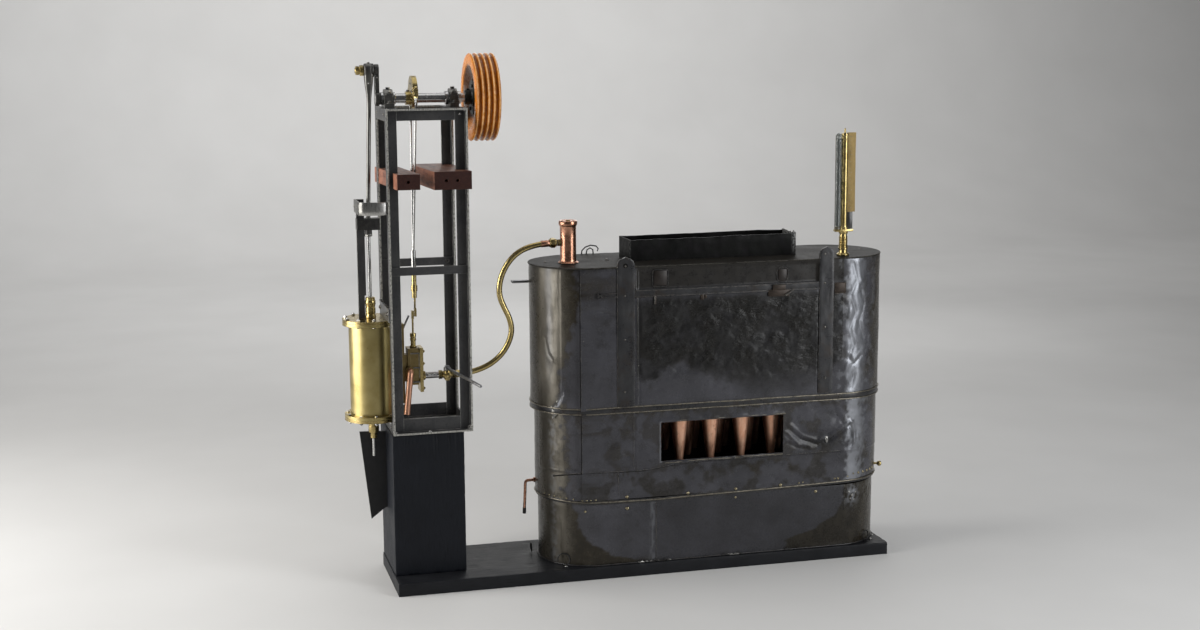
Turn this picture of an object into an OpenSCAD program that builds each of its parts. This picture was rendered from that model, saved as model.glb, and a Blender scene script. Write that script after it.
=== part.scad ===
// Tower steam engine with a water-cone boiler, on one base board.
// X runs along the board, Y from the front edge to the back, Z up.
// The origin is at the middle of the model's box, on the underside of the board.

/* [Base board and block] */
// Length of the base board
board_l = 715; // [712:1:716]
// Depth of the base board, front to back
board_d = 155; // [155:1:157]
// Thickness of the base board
board_t = 18; // [17.5:0.5:18]
// Width of the wooden block under the tower
block_w = 99; // [96:1:100]
// Depth of the wooden block
block_d = 119.4; // [116:0.2:119.4]

/* [Tower] */
// Width of the tower across its posts
tower_w = 109; // [108:1:109]
// Depth of the tower, lip to back
tower_d = 105.5; // [105.5:0.5:106]
// Height of the tower above the block
tower_h = 439; // [438:0.5:440]
// Width of the flat leg of each angle iron
angle_w = 15.5; // [15:0.5:16]
// Thickness of the angle iron
angle_t = 2.5; // [2:0.1:2.5]
// How far the lip leg stands forward
lip_d = 10; // [8:0.5:10]
// Height of the rails at mid height, above the block
mid_rail_z = 217; // [214:1:220]
// Height of the top rails
top_rail_h = 16; // [15:0.5:17]

/* [Engine] */
// Crank throw, half of the stroke
throw = 37.5; // [36.5:0.5:37.5]
// Connecting rod length between its pins
conrod_l = 203.5; // [203:0.5:204]
// Diameter of the crankshaft
shaft_d = 13; // [12:0.5:13]
// Radial running clearance of the shaft and pins
run_c = 0.05; // [0.03:0.01:0.08]
// Eccentricity of the valve sheave
ecc_e = 8; // [7.5:0.5:8]
// Outside diameter of the cylinder tube
barrel_d = 61; // [59:0.5:61]
// Diameter of the cylinder flanges
flange_d = 77; // [75:0.5:77]
// Bore of the cylinder
bore_d = 54; // [52:0.5:54]
// Diameter of the piston rod
prod_d = 5; // [4.8:0.1:5]
// Diameter of the pulley
pulley_d = 118.6; // [116:0.2:119]
// Width of the pulley
pulley_w = 34; // [33:0.5:34]

/* [Boiler] */
// Height of the boiler lid above the bench
lid_z = 438; // [437.5:0.5:438.5]
// Thickness of the boiler's sheet iron in the walls
sheet_t = 1.6; // [1.5:0.1:1.8]
// Radius of the boiler's round ends at the lid
lid_r = 75.5; // [75.5:0.1:76]
// Height of the joint between the upper and middle casing
upper_seam_z = 238; // [238:0.5:238.5]
// Height of the joint between the middle and lower casing
lower_seam_z = 110; // [109.5:0.5:110]

/* [Hidden] */
$fn = 64;

// Box of the whole model before it is centred
ox = 334.05;
oy = 60.6;
yc = 85.5;                       // shaft and cylinder plane
top_z = board_t + 198 + tower_h; // top of the tower
block_top = board_t + 198;
block_x = 1.3;
block_y = board_d - block_d;
tx0 = 3;
tx1 = tx0 + tower_w;
ty0 = 32;
ty1 = ty0 + tower_d;
shaft_z = top_z + 12;
pin_z = shaft_z + throw;         // crank pin at top dead centre
cross_z = pin_z - conrod_l;      // crosshead pin at top dead centre
cyl_x = -17;
strap_x = 48;                    // plane of the eccentric
fork_x = 43.5;                   // the fork leans to this plane at its foot
back_dx = -2.8;                  // the back frame is a little narrower than the front one
sheave_z = shaft_z + ecc_e;
cyl_bot = 231;
cyl_top = 371;
steam_y = 76;
steam_z = 288.5;
byc = 78;                        // boiler centre line
lid_x0 = 203;
lid_x1 = 721.5;

module place() translate([-ox, -oy, 0]) children();
module block(x0, x1, y0, y1, z0, z1) translate([x0, y0, z0]) cube([x1 - x0, y1 - y0, z1 - z0]);
module barx(x0, x1, y, z, r) translate([x0, y, z]) rotate([0, 90, 0]) cylinder(r = r, h = x1 - x0);
module bary(y0, y1, x, z, r) translate([x, y0, z]) rotate([-90, 0, 0]) cylinder(r = r, h = y1 - y0);
module barz(z0, z1, x, y, r) translate([x, y, z0]) cylinder(r = r, h = z1 - z0);
// Round bar between two points
module rod(p, q, r) {
  d = q - p; l = norm(d);
  translate(p) rotate([0, acos(d[2] / l), atan2(d[1], d[0])]) cylinder(r = r, h = l);
}
// Flat outline with round ends, centred on cy, from x0 to x1
module stadium2(x0, x1, cy, r) {
  translate([x0 + r, cy - r]) square([x1 - x0 - 2 * r, 2 * r]);
  translate([x0 + r, cy]) circle(r = r, $fn = 120);
  translate([x1 - r, cy]) circle(r = r, $fn = 120);
}
// Wall of one casing tier
module tier(x0, x1, r, z0, z1) translate([0, 0, z0]) linear_extrude(height = z1 - z0)
  difference() { stadium2(x0, x1, byc, r); stadium2(x0 + sheet_t, x1 - sheet_t, byc, r - sheet_t); }

// Angle-iron post: flat leg across the front, lip leg forward on the outer side
module post(left, y1, dx = 0) {
  x0 = left ? tx0 : tx1 - angle_w + dx;
  lx = left ? tx0 : tx1 - angle_t + dx;
  block(x0, x0 + angle_w, y1 - angle_t, y1, block_top, top_z);
  block(lx, lx + angle_t, y1 - angle_t - lip_d, y1 - angle_t, block_top, top_z);
}
fy = ty0 + lip_d + angle_t;      // back face of the front frame's flat leg
module frame_rails(y1, dx = 0) {
  x0 = tx0 + angle_w; x1 = tx1 - angle_w + dx; x2 = tx1 - angle_t + dx;
  // top
  block(x0, x1, y1 - angle_t, y1, top_z - top_rail_h, top_z);
  block(tx0 + angle_t, x2, y1 - angle_t - lip_d, y1 - angle_t, top_z - angle_t, top_z);
  // middle, in front of the posts' flat legs
  block(tx0 + angle_t, x2, y1 - 2 * angle_t, y1 - angle_t, block_top + mid_rail_z, block_top + mid_rail_z + 11);
  // bottom
  block(x0, x1, y1 - angle_t, y1, block_top, block_top + 20);
  block(tx0 + angle_t, x2, y1 - angle_t - lip_d, y1 - angle_t, block_top, block_top + angle_t);
}
module side_bar(x0, x1, z0, z1, dx) translate([0, 0, z0]) linear_extrude(height = z1 - z0)
  polygon([[x0, fy], [x1, fy], [x1 + dx, ty1 - angle_t - lip_d], [x0 + dx, ty1 - angle_t - lip_d]]);
module side_pair(x, leg0, leg1, dx) {
  side_bar(x, x + angle_t, top_z - top_rail_h, top_z, dx);
  side_bar(leg0, leg1, top_z - angle_t, top_z, dx);
  side_bar(x, x + angle_t, block_top, block_top + 14, dx);
}

module base_board() color("#23262c") place() block(0, board_l, 0, board_d, 0, board_t);
module engine_block() color("#1d2430") place() block(block_x, block_x + block_w, block_y, board_d, board_t, block_top);
module front_left_post() color("#4a5058") place() post(true, fy);
module front_right_post() color("#4a5058") place() post(false, fy);
module back_left_post() color("#4a5058") place() post(true, ty1);
module back_right_post() color("#4a5058") place() post(false, ty1, back_dx);
module front_rails() color("#4a5058") place() frame_rails(fy);
module back_rails() color("#4a5058") place() frame_rails(ty1, back_dx);
module side_rails() color("#4a5058") place() { side_pair(tx0, tx0, tx0 + 18.5, 0); side_pair(tx1 - angle_t, tx1 - 18.5, tx1, back_dx); }

// Wooden bearers run front to back and are notched round the posts
module bearer(f, b, z0, z1, nx0, nx1, hx, dx = 0) difference() {
  translate([0, 0, z0]) linear_extrude(height = z1 - z0) polygon([[f[0], 7], [f[1], 7], [b[1], 151], [b[0], 151]]);
  block(nx0, nx1, ty0 - 0.2, fy, z0 - 1, z1 + 1);
  block(nx0 + dx, nx1 + dx, ty1 - lip_d - angle_t - 0.2, ty1, z0 - 1, z1 + 1);
  for (x = hx) bary(6, 19, x, (z0 + z1) / 2, 2.2);
}
module left_bearer() color("#7d3f2c") place() bearer([12.4, 42.6], [2.6, 32.8], 550.5, 571, -1, tx0 + angle_w, [27]);
module right_bearer() color("#6f3629") place() bearer([61.5, 111.5], [52, 106], 549.5, 573.5, tx1 - angle_w, 118, [77.5, 92.5], back_dx);

// Pillow block on top of a side rail
module bearing(x0, x1) difference() {
  union() {
    block(x0, x1, yc - 17, yc + 17, top_z, top_z + 6);
    block(x0 + 0.8, x1 - 0.8, yc - 11.5, yc + 11.5, top_z + 6, shaft_z + 4);
    barx(x0 + 0.8, x1 - 0.8, yc, shaft_z + 1, 11.5);
    block(x0 + 2, x1 - 2, yc - 14.5, yc + 14.5, shaft_z + 3.5, shaft_z + 7);
  }
  barx(x0 - 1, x1 + 1, yc, shaft_z, shaft_d / 2 + run_c);
}
module shaft_bearings() color("#5a5f66") place() { bearing(7.5, 20.5); bearing(95.5, 107.5); }

// Turning parts
arm_x0 = -3.2;                   // crank arm, clear of the tower's left side
arm_x1 = 2;
module crankshaft() color("#b9bcc0") place() difference() {
  union() {
    barx(arm_x0, 161.5, yc, shaft_z, shaft_d / 2);
    barx(4.5, 7.1, yc, shaft_z, 8.5);
    barx(107.9, 112, yc, shaft_z, 9);
  }
  barx(-4, -2.4, yc, shaft_z, 1.5);
}
module crank_arm() color("#34373c") place() difference() {
  union() {
    barx(arm_x0, arm_x1, yc, shaft_z, 10);
    barx(arm_x1, 4.4, yc, shaft_z, 8);
    block(arm_x0, arm_x1, yc - 7, yc + 7, shaft_z, pin_z);
    barx(arm_x0, arm_x1, yc, pin_z, 8.2);
  }
  barx(-5, 5, yc, shaft_z, shaft_d / 2 + 0.02);
}
module pulley() color("#b5672a") place() difference() {
  translate([123.5, yc, shaft_z]) rotate([0, 90, 0]) rotate_extrude($fn = 160)
    polygon([[shaft_d / 2 + 0.02, 8], [30, 8], [45, 0], [pulley_d / 2 - 1, 0], [pulley_d / 2, 1], [pulley_d / 2, 2],
      for (i = [0:3]) each [[pulley_d / 2, 2.4 + 7.75 * i], [pulley_d / 2 - 3.6, 4.6 + 7.75 * i], [pulley_d / 2 - 3.6, 7 + 7.75 * i], [pulley_d / 2, 9.2 + 7.75 * i]],
      [pulley_d / 2, pulley_w - 0.2], [pulley_d / 2 - 1, pulley_w], [45, pulley_w], [30, pulley_w - 8], [shaft_d / 2 + 0.02, pulley_w - 8]]);
}
module pulley_hub() color("#1f2023") place() difference() {
  union() { barx(127.5, 131.4, yc, shaft_z, 24); barx(118, 127.5, yc, shaft_z, 10); }
  barx(110, 140, yc, shaft_z, shaft_d / 2 + 0.02);
}
module eccentric_sheave() color("#b59a4a") place() difference() {
  union() {
    barx(strap_x - 3.5, strap_x + 4.2, yc, sheave_z, 17.5);
    barx(strap_x - 10.5, strap_x - 3.5, yc, shaft_z, 9);
  }
  barx(strap_x - 12, strap_x + 6, yc, shaft_z, shaft_d / 2 + 0.02);
}

// Eccentric strap, fork and ferrule hang from the sheave
module eccentric_strap() color("#a58c45") place() difference() {
  union() {
    barx(strap_x - 3.3, strap_x + 3.3, yc, sheave_z, 21.9);
    for (s = [-1, 1]) block(strap_x - 2.9, strap_x + 2.9, yc + s * 22.8 - 4.2, yc + s * 22.8 + 4.2, sheave_z - 5, sheave_z + 5);
  }
  barx(strap_x - 5, strap_x + 5, yc, sheave_z, 17.5 + run_c);
}
fork_z = 461;
module eccentric_fork() color("#b4b6ba") place() {
  for (s = [-1, 1]) { rod([strap_x, yc + s * 24.4, sheave_z - 9], [fork_x, yc + s * 1.2, fork_z - 1], 1.5); barz(sheave_z - 10, sheave_z - 5, strap_x, yc + s * 24.4, 1.9); }
  barz(438, fork_z, fork_x, yc, 3.2);
}
module fork_ferrule() color("#b8974a") place() {
  barz(395.5, 427, fork_x, yc, 3.4);
  barz(405, 413, fork_x, yc, 4.4);
  barz(427, 438, fork_x, yc, 1.9);
  barz(380, 395.5, fork_x + 0.4, yc, 1.3);
  block(fork_x - 0.9, fork_x + 2.1, yc - 3.2, yc + 3.2, 370, 381);
}
// Valve spindle with its eye beside the fork's eye
vx = fork_x - 3.2;
module valve_rod() color("#b8974a") place() {
  block(vx - 1.6, vx + 1.5, yc - 3.2, yc + 3.2, 366.5, 377.8);
  barz(305, 366.5, vx, yc, 1.3);
}
module valve_gland() color("#b8974a") place() difference() {
  union() { barz(327, 340, vx, yc, 3.5); barz(340, 346.8, vx, yc, 4.2); }
  barz(320, 350, vx, yc, 1.3 + run_c);
}
module valve_chest() color("#a98c48") place() difference() {
  union() {
    block(31, 34.5, 74.5, 96.5, 272, 327);
    block(34.5, 46, 76, 95, 276, 327);
  }
  barz(286, 328, vx, yc, 1.3 + run_c);
}
module chest_cover() color("#b59a55") place() {
  block(47.5, 52, 73.5, 97.5, 266, 327.5);
  for (z = [281, 322], y = [79, 92]) barx(46, 47.5, y, z, 1.6);
}
module port_block() color("#a58a45") place() difference() {
  union() {
    block(6, 31, 78, 93, 281, 318);
    block(20.5, 27, 79, 92, 318, 361);
    block(20.5, 27, 79, 92, 250, 281);
  }
  barz(200, 400, cyl_x, yc, barrel_d / 2);
}
module valve_guide() color("#9da0a4") place() difference() { rod([24, yc, 347.8], [35.2, yc, 371.5], 1.3); block(20, 27, 70, 100, 300, 361); }
module inlet_pipe() color("#b4b6ba") place() barx(52, 73, steam_y, steam_z, 4.4);
module steam_cock() color("#b0913f") place() union() {
  barx(73, 80.5, steam_y, steam_z, 5.4);
  barz(282.5, 293.9, 85, steam_y, 5.6);
  barx(80.5, 96, steam_y, steam_z, 4.2);
  barx(96, 104, steam_y, steam_z, 5.2);
  bary(65.5, 71, 85, steam_z, 3.4);
}
lev_a = 76.4;
module cock_lever() color("#8d9095") place() {
  barz(294.2, 298.6, 85, steam_y, 4.8);
  rod([85, steam_y, 296.8] + 4 * [cos(lev_a), -sin(lev_a), -0.05], [85, steam_y, 296.8] + 112.4 * [cos(lev_a), -sin(lev_a), -0.05], 2.2);
}

// Round pipe swept along a flat curve in a vertical plane
function cr(p0, p1, p2, p3, t) = 0.5 * ((2 * p1) + (p2 - p0) * t + (2 * p0 - 5 * p1 + 4 * p2 - p3) * t * t + (3 * p1 - p0 - 3 * p2 + p3) * t * t * t);
function path(p, n) = [for (i = [1:len(p) - 3], k = [0:n - 1]) cr(p[i - 1], p[i], p[i + 1], p[i + 2], k / n), p[len(p) - 2]];
function unit(v) = v / norm(v);
module sweep_tube(c, r, m, side) {
  n = len(c);
  t = [for (i = [0:n - 1]) unit(i == 0 ? c[1] - c[0] : i == n - 1 ? c[n - 1] - c[n - 2] : c[i + 1] - c[i - 1])];
  pts = [for (i = [0:n - 1]) let (b = unit(cross(t[i], side)), s = cross(b, t[i])) for (k = [0:m - 1]) c[i] + r * (cos(360 * k / m) * s + sin(360 * k / m) * b)];
  faces = concat([[for (k = [0:m - 1]) k]],
    [for (i = [0:n - 2], k = [0:m - 1]) [i * m + k, (i + 1) * m + k, (i + 1) * m + (k + 1) % m, i * m + (k + 1) % m]],
    [[for (k = [m - 1:-1:0]) (n - 1) * m + k]]);
  polyhedron(points = pts, faces = faces, convexity = 6);
}
steam_pts = [[90, 76, 288.5], [104, 76, 288.5], [118, 75.5, 290], [134, 75, 294.5], [148, 74.5, 301.5], [160, 74, 311.5], [169, 73.5, 324], [174.5, 73, 338], [175.5, 72.5, 351],
  [172, 72, 365], [165.5, 71.5, 379], [160.5, 71, 392], [159, 70.5, 405], [161.5, 70, 420], [168, 69.5, 435], [178, 69, 448], [190, 68, 457], [204, 67, 462.5], [219, 66, 465.5], [230, 66, 466.5]];
module steam_pipe() color("#b08c45") place() {
  sweep_tube(path(steam_pts, 4), 4, 12, unit([0.07, 1, 0]));
  barx(218.5, 231, 66, 466, 4.8);
  barx(231, 237, 66, 466.5, 6.3);
}
module exhaust_pipe() color("#b4643f") place() {
  bary(66, 74.5, 33.2, 297, 3.4);
  translate([33.2, 66, 297]) sphere(r = 4.6);
  rod([33.2, 66, 297], [26, 62.5, 238], 4.3);
}

// Cylinder
module cylinder_barrel() color("#c2a85c") place() difference() {
  union() {
    barz(cyl_bot + 4, cyl_top - 4, cyl_x, yc, barrel_d / 2);
    barz(cyl_bot + 4, cyl_bot + 8, cyl_x, yc, flange_d / 2);
    barz(cyl_top - 8, cyl_top - 4, cyl_x, yc, flange_d / 2);
  }
  barz(cyl_bot, cyl_top, cyl_x, yc, bore_d / 2);
}
module cylinder_covers() color("#b79c50") place() difference() {
  union() { barz(cyl_bot, cyl_bot + 4, cyl_x, yc, flange_d / 2); barz(cyl_top - 4, cyl_top, cyl_x, yc, flange_d / 2); }
  barz(cyl_bot - 5, cyl_top + 5, cyl_x, yc, prod_d / 2 + run_c);
}
module piston_glands() color("#b8974a") place() difference() {
  union() {
    barz(cyl_top, 377, cyl_x, yc, 6.2); barz(377, 390, cyl_x, yc, 6.8); barz(390, 395, cyl_x, yc, 7.2); barz(395, 399.5, cyl_x, yc, 6.5);
    barz(211, cyl_bot, cyl_x, yc, 7.2); barz(203, 211, cyl_x, yc, 4.6);
  }
  barz(200, 405, cyl_x, yc, prod_d / 2 + run_c);
}
module cylinder_bracket() color("#8f9296") place() difference() {
  block(tx0 - 2.5, tx0, 34, 122, cyl_top, cyl_top + 18);
  translate([0, 34, cyl_top + 18]) rotate([-20, 0, 0]) translate([-10, -30, 0]) cube([30, 30, 20]);
}
module black_gusset() color("#15161a") place() translate([0, 103, 0]) rotate([90, 0, 0]) linear_extrude(height = 3)
  polygon([[-35, 209.5], [block_x, 208], [block_x, 100], [-4.5, 97], [-21.5, 84]]);

// Sliding parts
module piston_rod() color("#c4c6c9") place() union() {
  barz(178, cross_z - 7.5, cyl_x, yc, prod_d / 2);
}
module piston() color("#9a9a9c") place() difference() {
  barz(cyl_top - 19, cyl_top - 5, cyl_x, yc, bore_d / 2 - run_c);
  barz(300, 400, cyl_x, yc, prod_d / 2 + 0.02);
}
ch_z0 = cross_z - 9.5;
module crosshead() color("#2e3034") place() union() {
  difference() {
    union() {
      block(-33, -2.2, yc - 8, yc + 8, ch_z0, cross_z + 6);
      barz(ch_z0 - 6, ch_z0, cyl_x, yc, 5);
    }
    block(-34, -21.9, yc - 2.3, yc + 2.3, ch_z0 - 1, cross_z + 8);
    block(cyl_x - 3.6, cyl_x + 4, yc - 6.2, yc + 6.2, cross_z - 6.5, cross_z + 8);
    barz(ch_z0 - 7, cross_z - 7.5, cyl_x, yc, prod_d / 2 + 0.02);
  }
  barx(-22, -12, yc, cross_z, 2);
}
module guide_bar() color("#3a3d42") place() { block(-33, -24.5, yc - 2, yc + 2, cyl_top, 402); block(-33, -22.4, yc - 2, yc + 2, 402, 533); }
module guide_strap() color("#d2d4d8") place() translate([0, 0, 515.5]) linear_extrude(height = 17.5) union() {
  translate([-35, 46]) square([2, 44]);
  translate([-25, 36]) square([28, 2]);
  intersection() {
    translate([-35, 36]) square([10, 10]);
    difference() { translate([-25, 46]) circle(r = 10); translate([-25, 46]) circle(r = 8); }
  }
}
// Connecting rod, opened from the crank at its big end
big_x = -11.2;                   // middle of the big end
module connecting_rod() color("#7f8388") place() difference() {
  union() {
    barx(cyl_x - 3, cyl_x + 3, yc, cross_z, 5.2);
    rod([cyl_x, yc, cross_z], [big_x, yc, pin_z - 36], 2.9);
    translate([big_x, yc, pin_z - 38]) cylinder(r1 = 3.1, r2 = 5.8, h = 26);
    barx(big_x - 6.2, -3.9, yc, pin_z, 9.2);
    block(big_x - 5.6, big_x + 5.6, yc - 6.4, yc + 6.4, pin_z - 15, pin_z);
  }
  barx(-40, 0, yc, cross_z, 2 + run_c);
  barx(-40, 0, yc, pin_z, 4.02);
}
module crank_pin() color("#c0a04c") place() {
  barx(-27.5, -3.9, yc, pin_z, 4);
  translate([-28.8, yc, pin_z]) rotate([0, 90, 0]) cylinder(r = 6.6, h = 5.8, $fn = 6);
  translate([-23, yc, pin_z]) rotate([0, 90, 0]) rotate([0, 0, 20]) cylinder(r = 7.1, h = 5.6, $fn = 6);
}

// Boiler casing: three tiers of sheet iron joined by bands
up = [204.3, 721, 74.8];
mid = [209.5, 718.5, 74.2];
low = [213.5, 714.5, 73.6];
band = 4;                        // half height of a joint band
casing_top = lid_z - 2;
win = [371, 552.5, 162.5, 217.5]; // fire window: x0, x1, z0, z1
module upper_front() color("#2c2b2b") place() block(up[0] + up[2], up[1] - up[2], byc - up[2], byc - up[2] + sheet_t, upper_seam_z + band, casing_top);
module upper_back() color("#2c2b2b") place() block(up[0] + up[2], up[1] - up[2], byc + up[2] - sheet_t, byc + up[2], upper_seam_z + band, casing_top);
module upper_end(x0, x1) color("#2c2b2b") place() difference() {
  tier(up[0], up[1], up[2], upper_seam_z + band, casing_top);
  block(x0, x1, -10, 170, 200, 460);
}
module upper_left_end() upper_end(up[0] + up[2], 800);
module upper_right_end() upper_end(100, up[1] - up[2]);
module middle_front() color("#2c2b2b") place() difference() {
  block(mid[0] + mid[2], mid[1] - mid[2], byc - mid[2], byc - mid[2] + sheet_t, lower_seam_z + band, upper_seam_z - band);
  block(win[0], win[1], -10, 20, win[2], win[3]);
}
module middle_back() color("#2c2b2b") place() difference() {
  tier(mid[0], mid[1], mid[2], lower_seam_z + band, upper_seam_z - band);
  block(mid[0] + mid[2], mid[1] - mid[2], -10, 40, 100, 300);
}
module lower_casing() color("#2a2d33") place() tier(low[0], low[1], low[2], board_t, lower_seam_z - band);
// Band that closes the step between two tiers
module joint_band(a, b, z) translate([0, 0, z - band]) linear_extrude(height = 2 * band) difference() {
  stadium2(a[0] - 1.3, a[1] + 1.3, byc, a[2] + 1.3);
  stadium2(b[0] + sheet_t, b[1] - sheet_t, byc, b[2] - sheet_t);
}
module casing_bands() color("#35322f") place() { joint_band(up, mid, upper_seam_z); joint_band(mid, low, lower_seam_z); }
flue = [342, 589, 58, 112];      // flue box: x0, x1, y0, y1
flue_top = 467.5;
str1 = [308.5, 333.5]; str2 = [603.5, 625];
iron_y = byc - up[2];            // front face of the upper casing
module boiler_lid() color("#2f2e2f") place() difference() {
  translate([0, 0, casing_top]) linear_extrude(height = lid_z - casing_top) stadium2(lid_x0, lid_x1, byc, lid_r);
  block(flue[0], flue[1], flue[2], flue[3], 400, 460);
  block(str1[0] - 0.2, str1[1] + 0.2, -5, iron_y, 430, 450);
  block(str2[0] - 0.2, str2[1] + 0.2, -5, iron_y, 430, 450);
}
module flue_box() color("#1c1c1e") place() difference() {
  block(flue[0], flue[1], flue[2], flue[3], 404, flue_top);
  block(flue[0] + 1.8, flue[1] - 1.8, flue[2] + 1.8, flue[3] - 1.8, 400, 480);
}
// Two riveted straps and the bar between them
module iron_strap(s, z0, z1) { w = (s[1] - s[0]) / 2;
  block(s[0], s[1], iron_y - 2, iron_y, z0, z1 - w);
  bary(iron_y - 2, iron_y, s[0] + w, z1 - w, w);
}
module front_ironwork() color("#262524") place() union() {
  iron_strap(str1, 243, 451);
  iron_strap(str2, 246, 454.5);
  block(281, str1[0], iron_y - 1.8, iron_y, 395, 405);
  block(str1[1], str2[0], iron_y - 1.8, iron_y, 395, 405);
}
// Tube plate with rows of tapered water cones hanging over the fire
module cone(x, y) translate([x, y, 150]) cylinder(r1 = 5.5, r2 = 15, h = 76, $fn = 40);
module tube_plate() color("#a85f41") place() translate([0, 0, 226]) linear_extrude(height = 3) stadium2(mid[0] + sheet_t, mid[1] - sheet_t, byc, mid[2] - sheet_t);
module water_cones() color("#a85f41") place() {
  for (i = [0:8]) { cone(272 + 46 * i, 42); cone(272 + 46 * i, 114); }
  for (i = [0:7]) cone(295 + 46 * i, 78);
}
module steam_dome() color("#9c5a3f") place() union() {
  barz(lid_z, lid_z + 3, 256, 66, 14);
  barz(lid_z + 3, 490, 256, 66, 11.2);
  translate([256, 66, 490]) cylinder(r1 = 11.2, r2 = 12.8, h = 5);
  barz(495, 497, 256, 66, 12.8);
  barx(237, 248, 66, 466.5, 4.6);
}
gx = 649; gy = 26;
module water_gauge() color("#b39a55") place() union() {
  barz(lid_z, lid_z + 4, gx, gy, 8);
  barz(lid_z + 4, 472, gx, gy, 5.6);
  for (z = [446, 455, 464]) barz(z, z + 4, gx, gy, 6.3);
  block(634, 662, gy - 5, gy + 5, 472, 475.5);
  barz(475.5, 606, 648.2, gy, 4.7);
  barz(602, 611, 648.2, gy, 5);
  barz(611, 618, 648.2, gy, 1.2);
  block(653.4, 664, gy - 2, gy + 0.2, 500, 612);
  block(653.4, 661, gy - 2.6, gy + 2.6, 475.5, 500);
  block(650, 654, gy - 2, gy + 0.2, 500, 606);
}
module gauge_glass() color("#8d969c", 0.5) place() difference() {
  union() { barz(475.5, 607, 638.8, gy, 4.3); translate([638.8, gy, 607]) sphere(r = 4.3); }
  barz(480, 604, 638.8, gy, 2.9);
}
module boiler_fittings() color("#a5633f") place() {
  rod([210.6, 92, 125], [197.6, 92, 125], 2);
  translate([197.6, 92, 125]) sphere(r = 2.4);
  rod([197.6, 92, 125], [195.2, 92, 77], 2);
  rod([713.3, 49.5, 124], [718.6, 47.3, 124], 2);
  translate([719.6, 46.9, 124]) sphere(r = 4);
  block(182, 205.4, 92, 103, 408.5, 412);
}

base_board();
engine_block();
front_left_post();
front_right_post();
back_left_post();
back_right_post();
front_rails();
back_rails();
side_rails();
left_bearer();
right_bearer();
shaft_bearings();
crankshaft();
crank_arm();
pulley();
pulley_hub();
eccentric_sheave();
eccentric_strap();
eccentric_fork();
fork_ferrule();
valve_rod();
valve_gland();
valve_chest();
chest_cover();
port_block();
valve_guide();
inlet_pipe();
steam_cock();
cock_lever();
steam_pipe();
exhaust_pipe();
cylinder_barrel();
cylinder_covers();
piston_glands();
cylinder_bracket();
black_gusset();
piston_rod();
piston();
crosshead();
guide_bar();
guide_strap();
connecting_rod();
crank_pin();
upper_front();
upper_back();
upper_left_end();
upper_right_end();
middle_front();
middle_back();
lower_casing();
casing_bands();
boiler_lid();
flue_box();
front_ironwork();
tube_plate();
water_cones();
steam_dome();
water_gauge();
gauge_glass();
boiler_fittings();
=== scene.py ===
import math
import random

import bpy
import bmesh
from mathutils import Matrix, Vector, noise


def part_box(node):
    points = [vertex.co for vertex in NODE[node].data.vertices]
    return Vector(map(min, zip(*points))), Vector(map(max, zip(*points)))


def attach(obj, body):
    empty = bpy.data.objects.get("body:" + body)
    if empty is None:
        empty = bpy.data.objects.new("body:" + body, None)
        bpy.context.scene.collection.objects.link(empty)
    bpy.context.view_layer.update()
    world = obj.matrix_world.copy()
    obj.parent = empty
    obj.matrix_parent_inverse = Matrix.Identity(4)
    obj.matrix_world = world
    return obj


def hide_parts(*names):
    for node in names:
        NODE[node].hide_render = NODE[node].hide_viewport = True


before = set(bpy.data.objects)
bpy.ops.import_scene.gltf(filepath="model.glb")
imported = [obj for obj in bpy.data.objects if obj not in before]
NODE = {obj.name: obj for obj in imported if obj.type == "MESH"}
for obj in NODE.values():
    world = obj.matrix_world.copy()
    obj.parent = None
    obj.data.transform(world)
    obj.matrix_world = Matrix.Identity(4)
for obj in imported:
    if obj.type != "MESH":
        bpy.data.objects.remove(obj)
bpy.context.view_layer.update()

# ------------------------------------------------------------------ frame of measures
# Pieces are laid out in millimetres from the front left corner of the base board.
B0, B1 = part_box("base_board")
OX, OY, OZ = B0.x, B0.y, B0.z


def W(x, y, z):
    return (OX + x / 1000, OY + y / 1000, OZ + z / 1000)


def nbox(name):
    lo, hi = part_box(name)
    return [(c - o) * 1000 for c, o in zip(lo, (OX, OY, OZ))], [(c - o) * 1000 for c, o in zip(hi, (OX, OY, OZ))]


def frac(x, y, z, octaves=4, h=0.9):
    return noise.fractal(Vector((x, y, z)), h, 2.1, octaves)


def sstep(a, b, x):
    t = min(1.0, max(0.0, (x - a) / (b - a)))
    return t * t * (3 - 2 * t)


def bump1(x, c, w):
    return math.exp(-((x - c) / w) ** 2)


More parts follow.
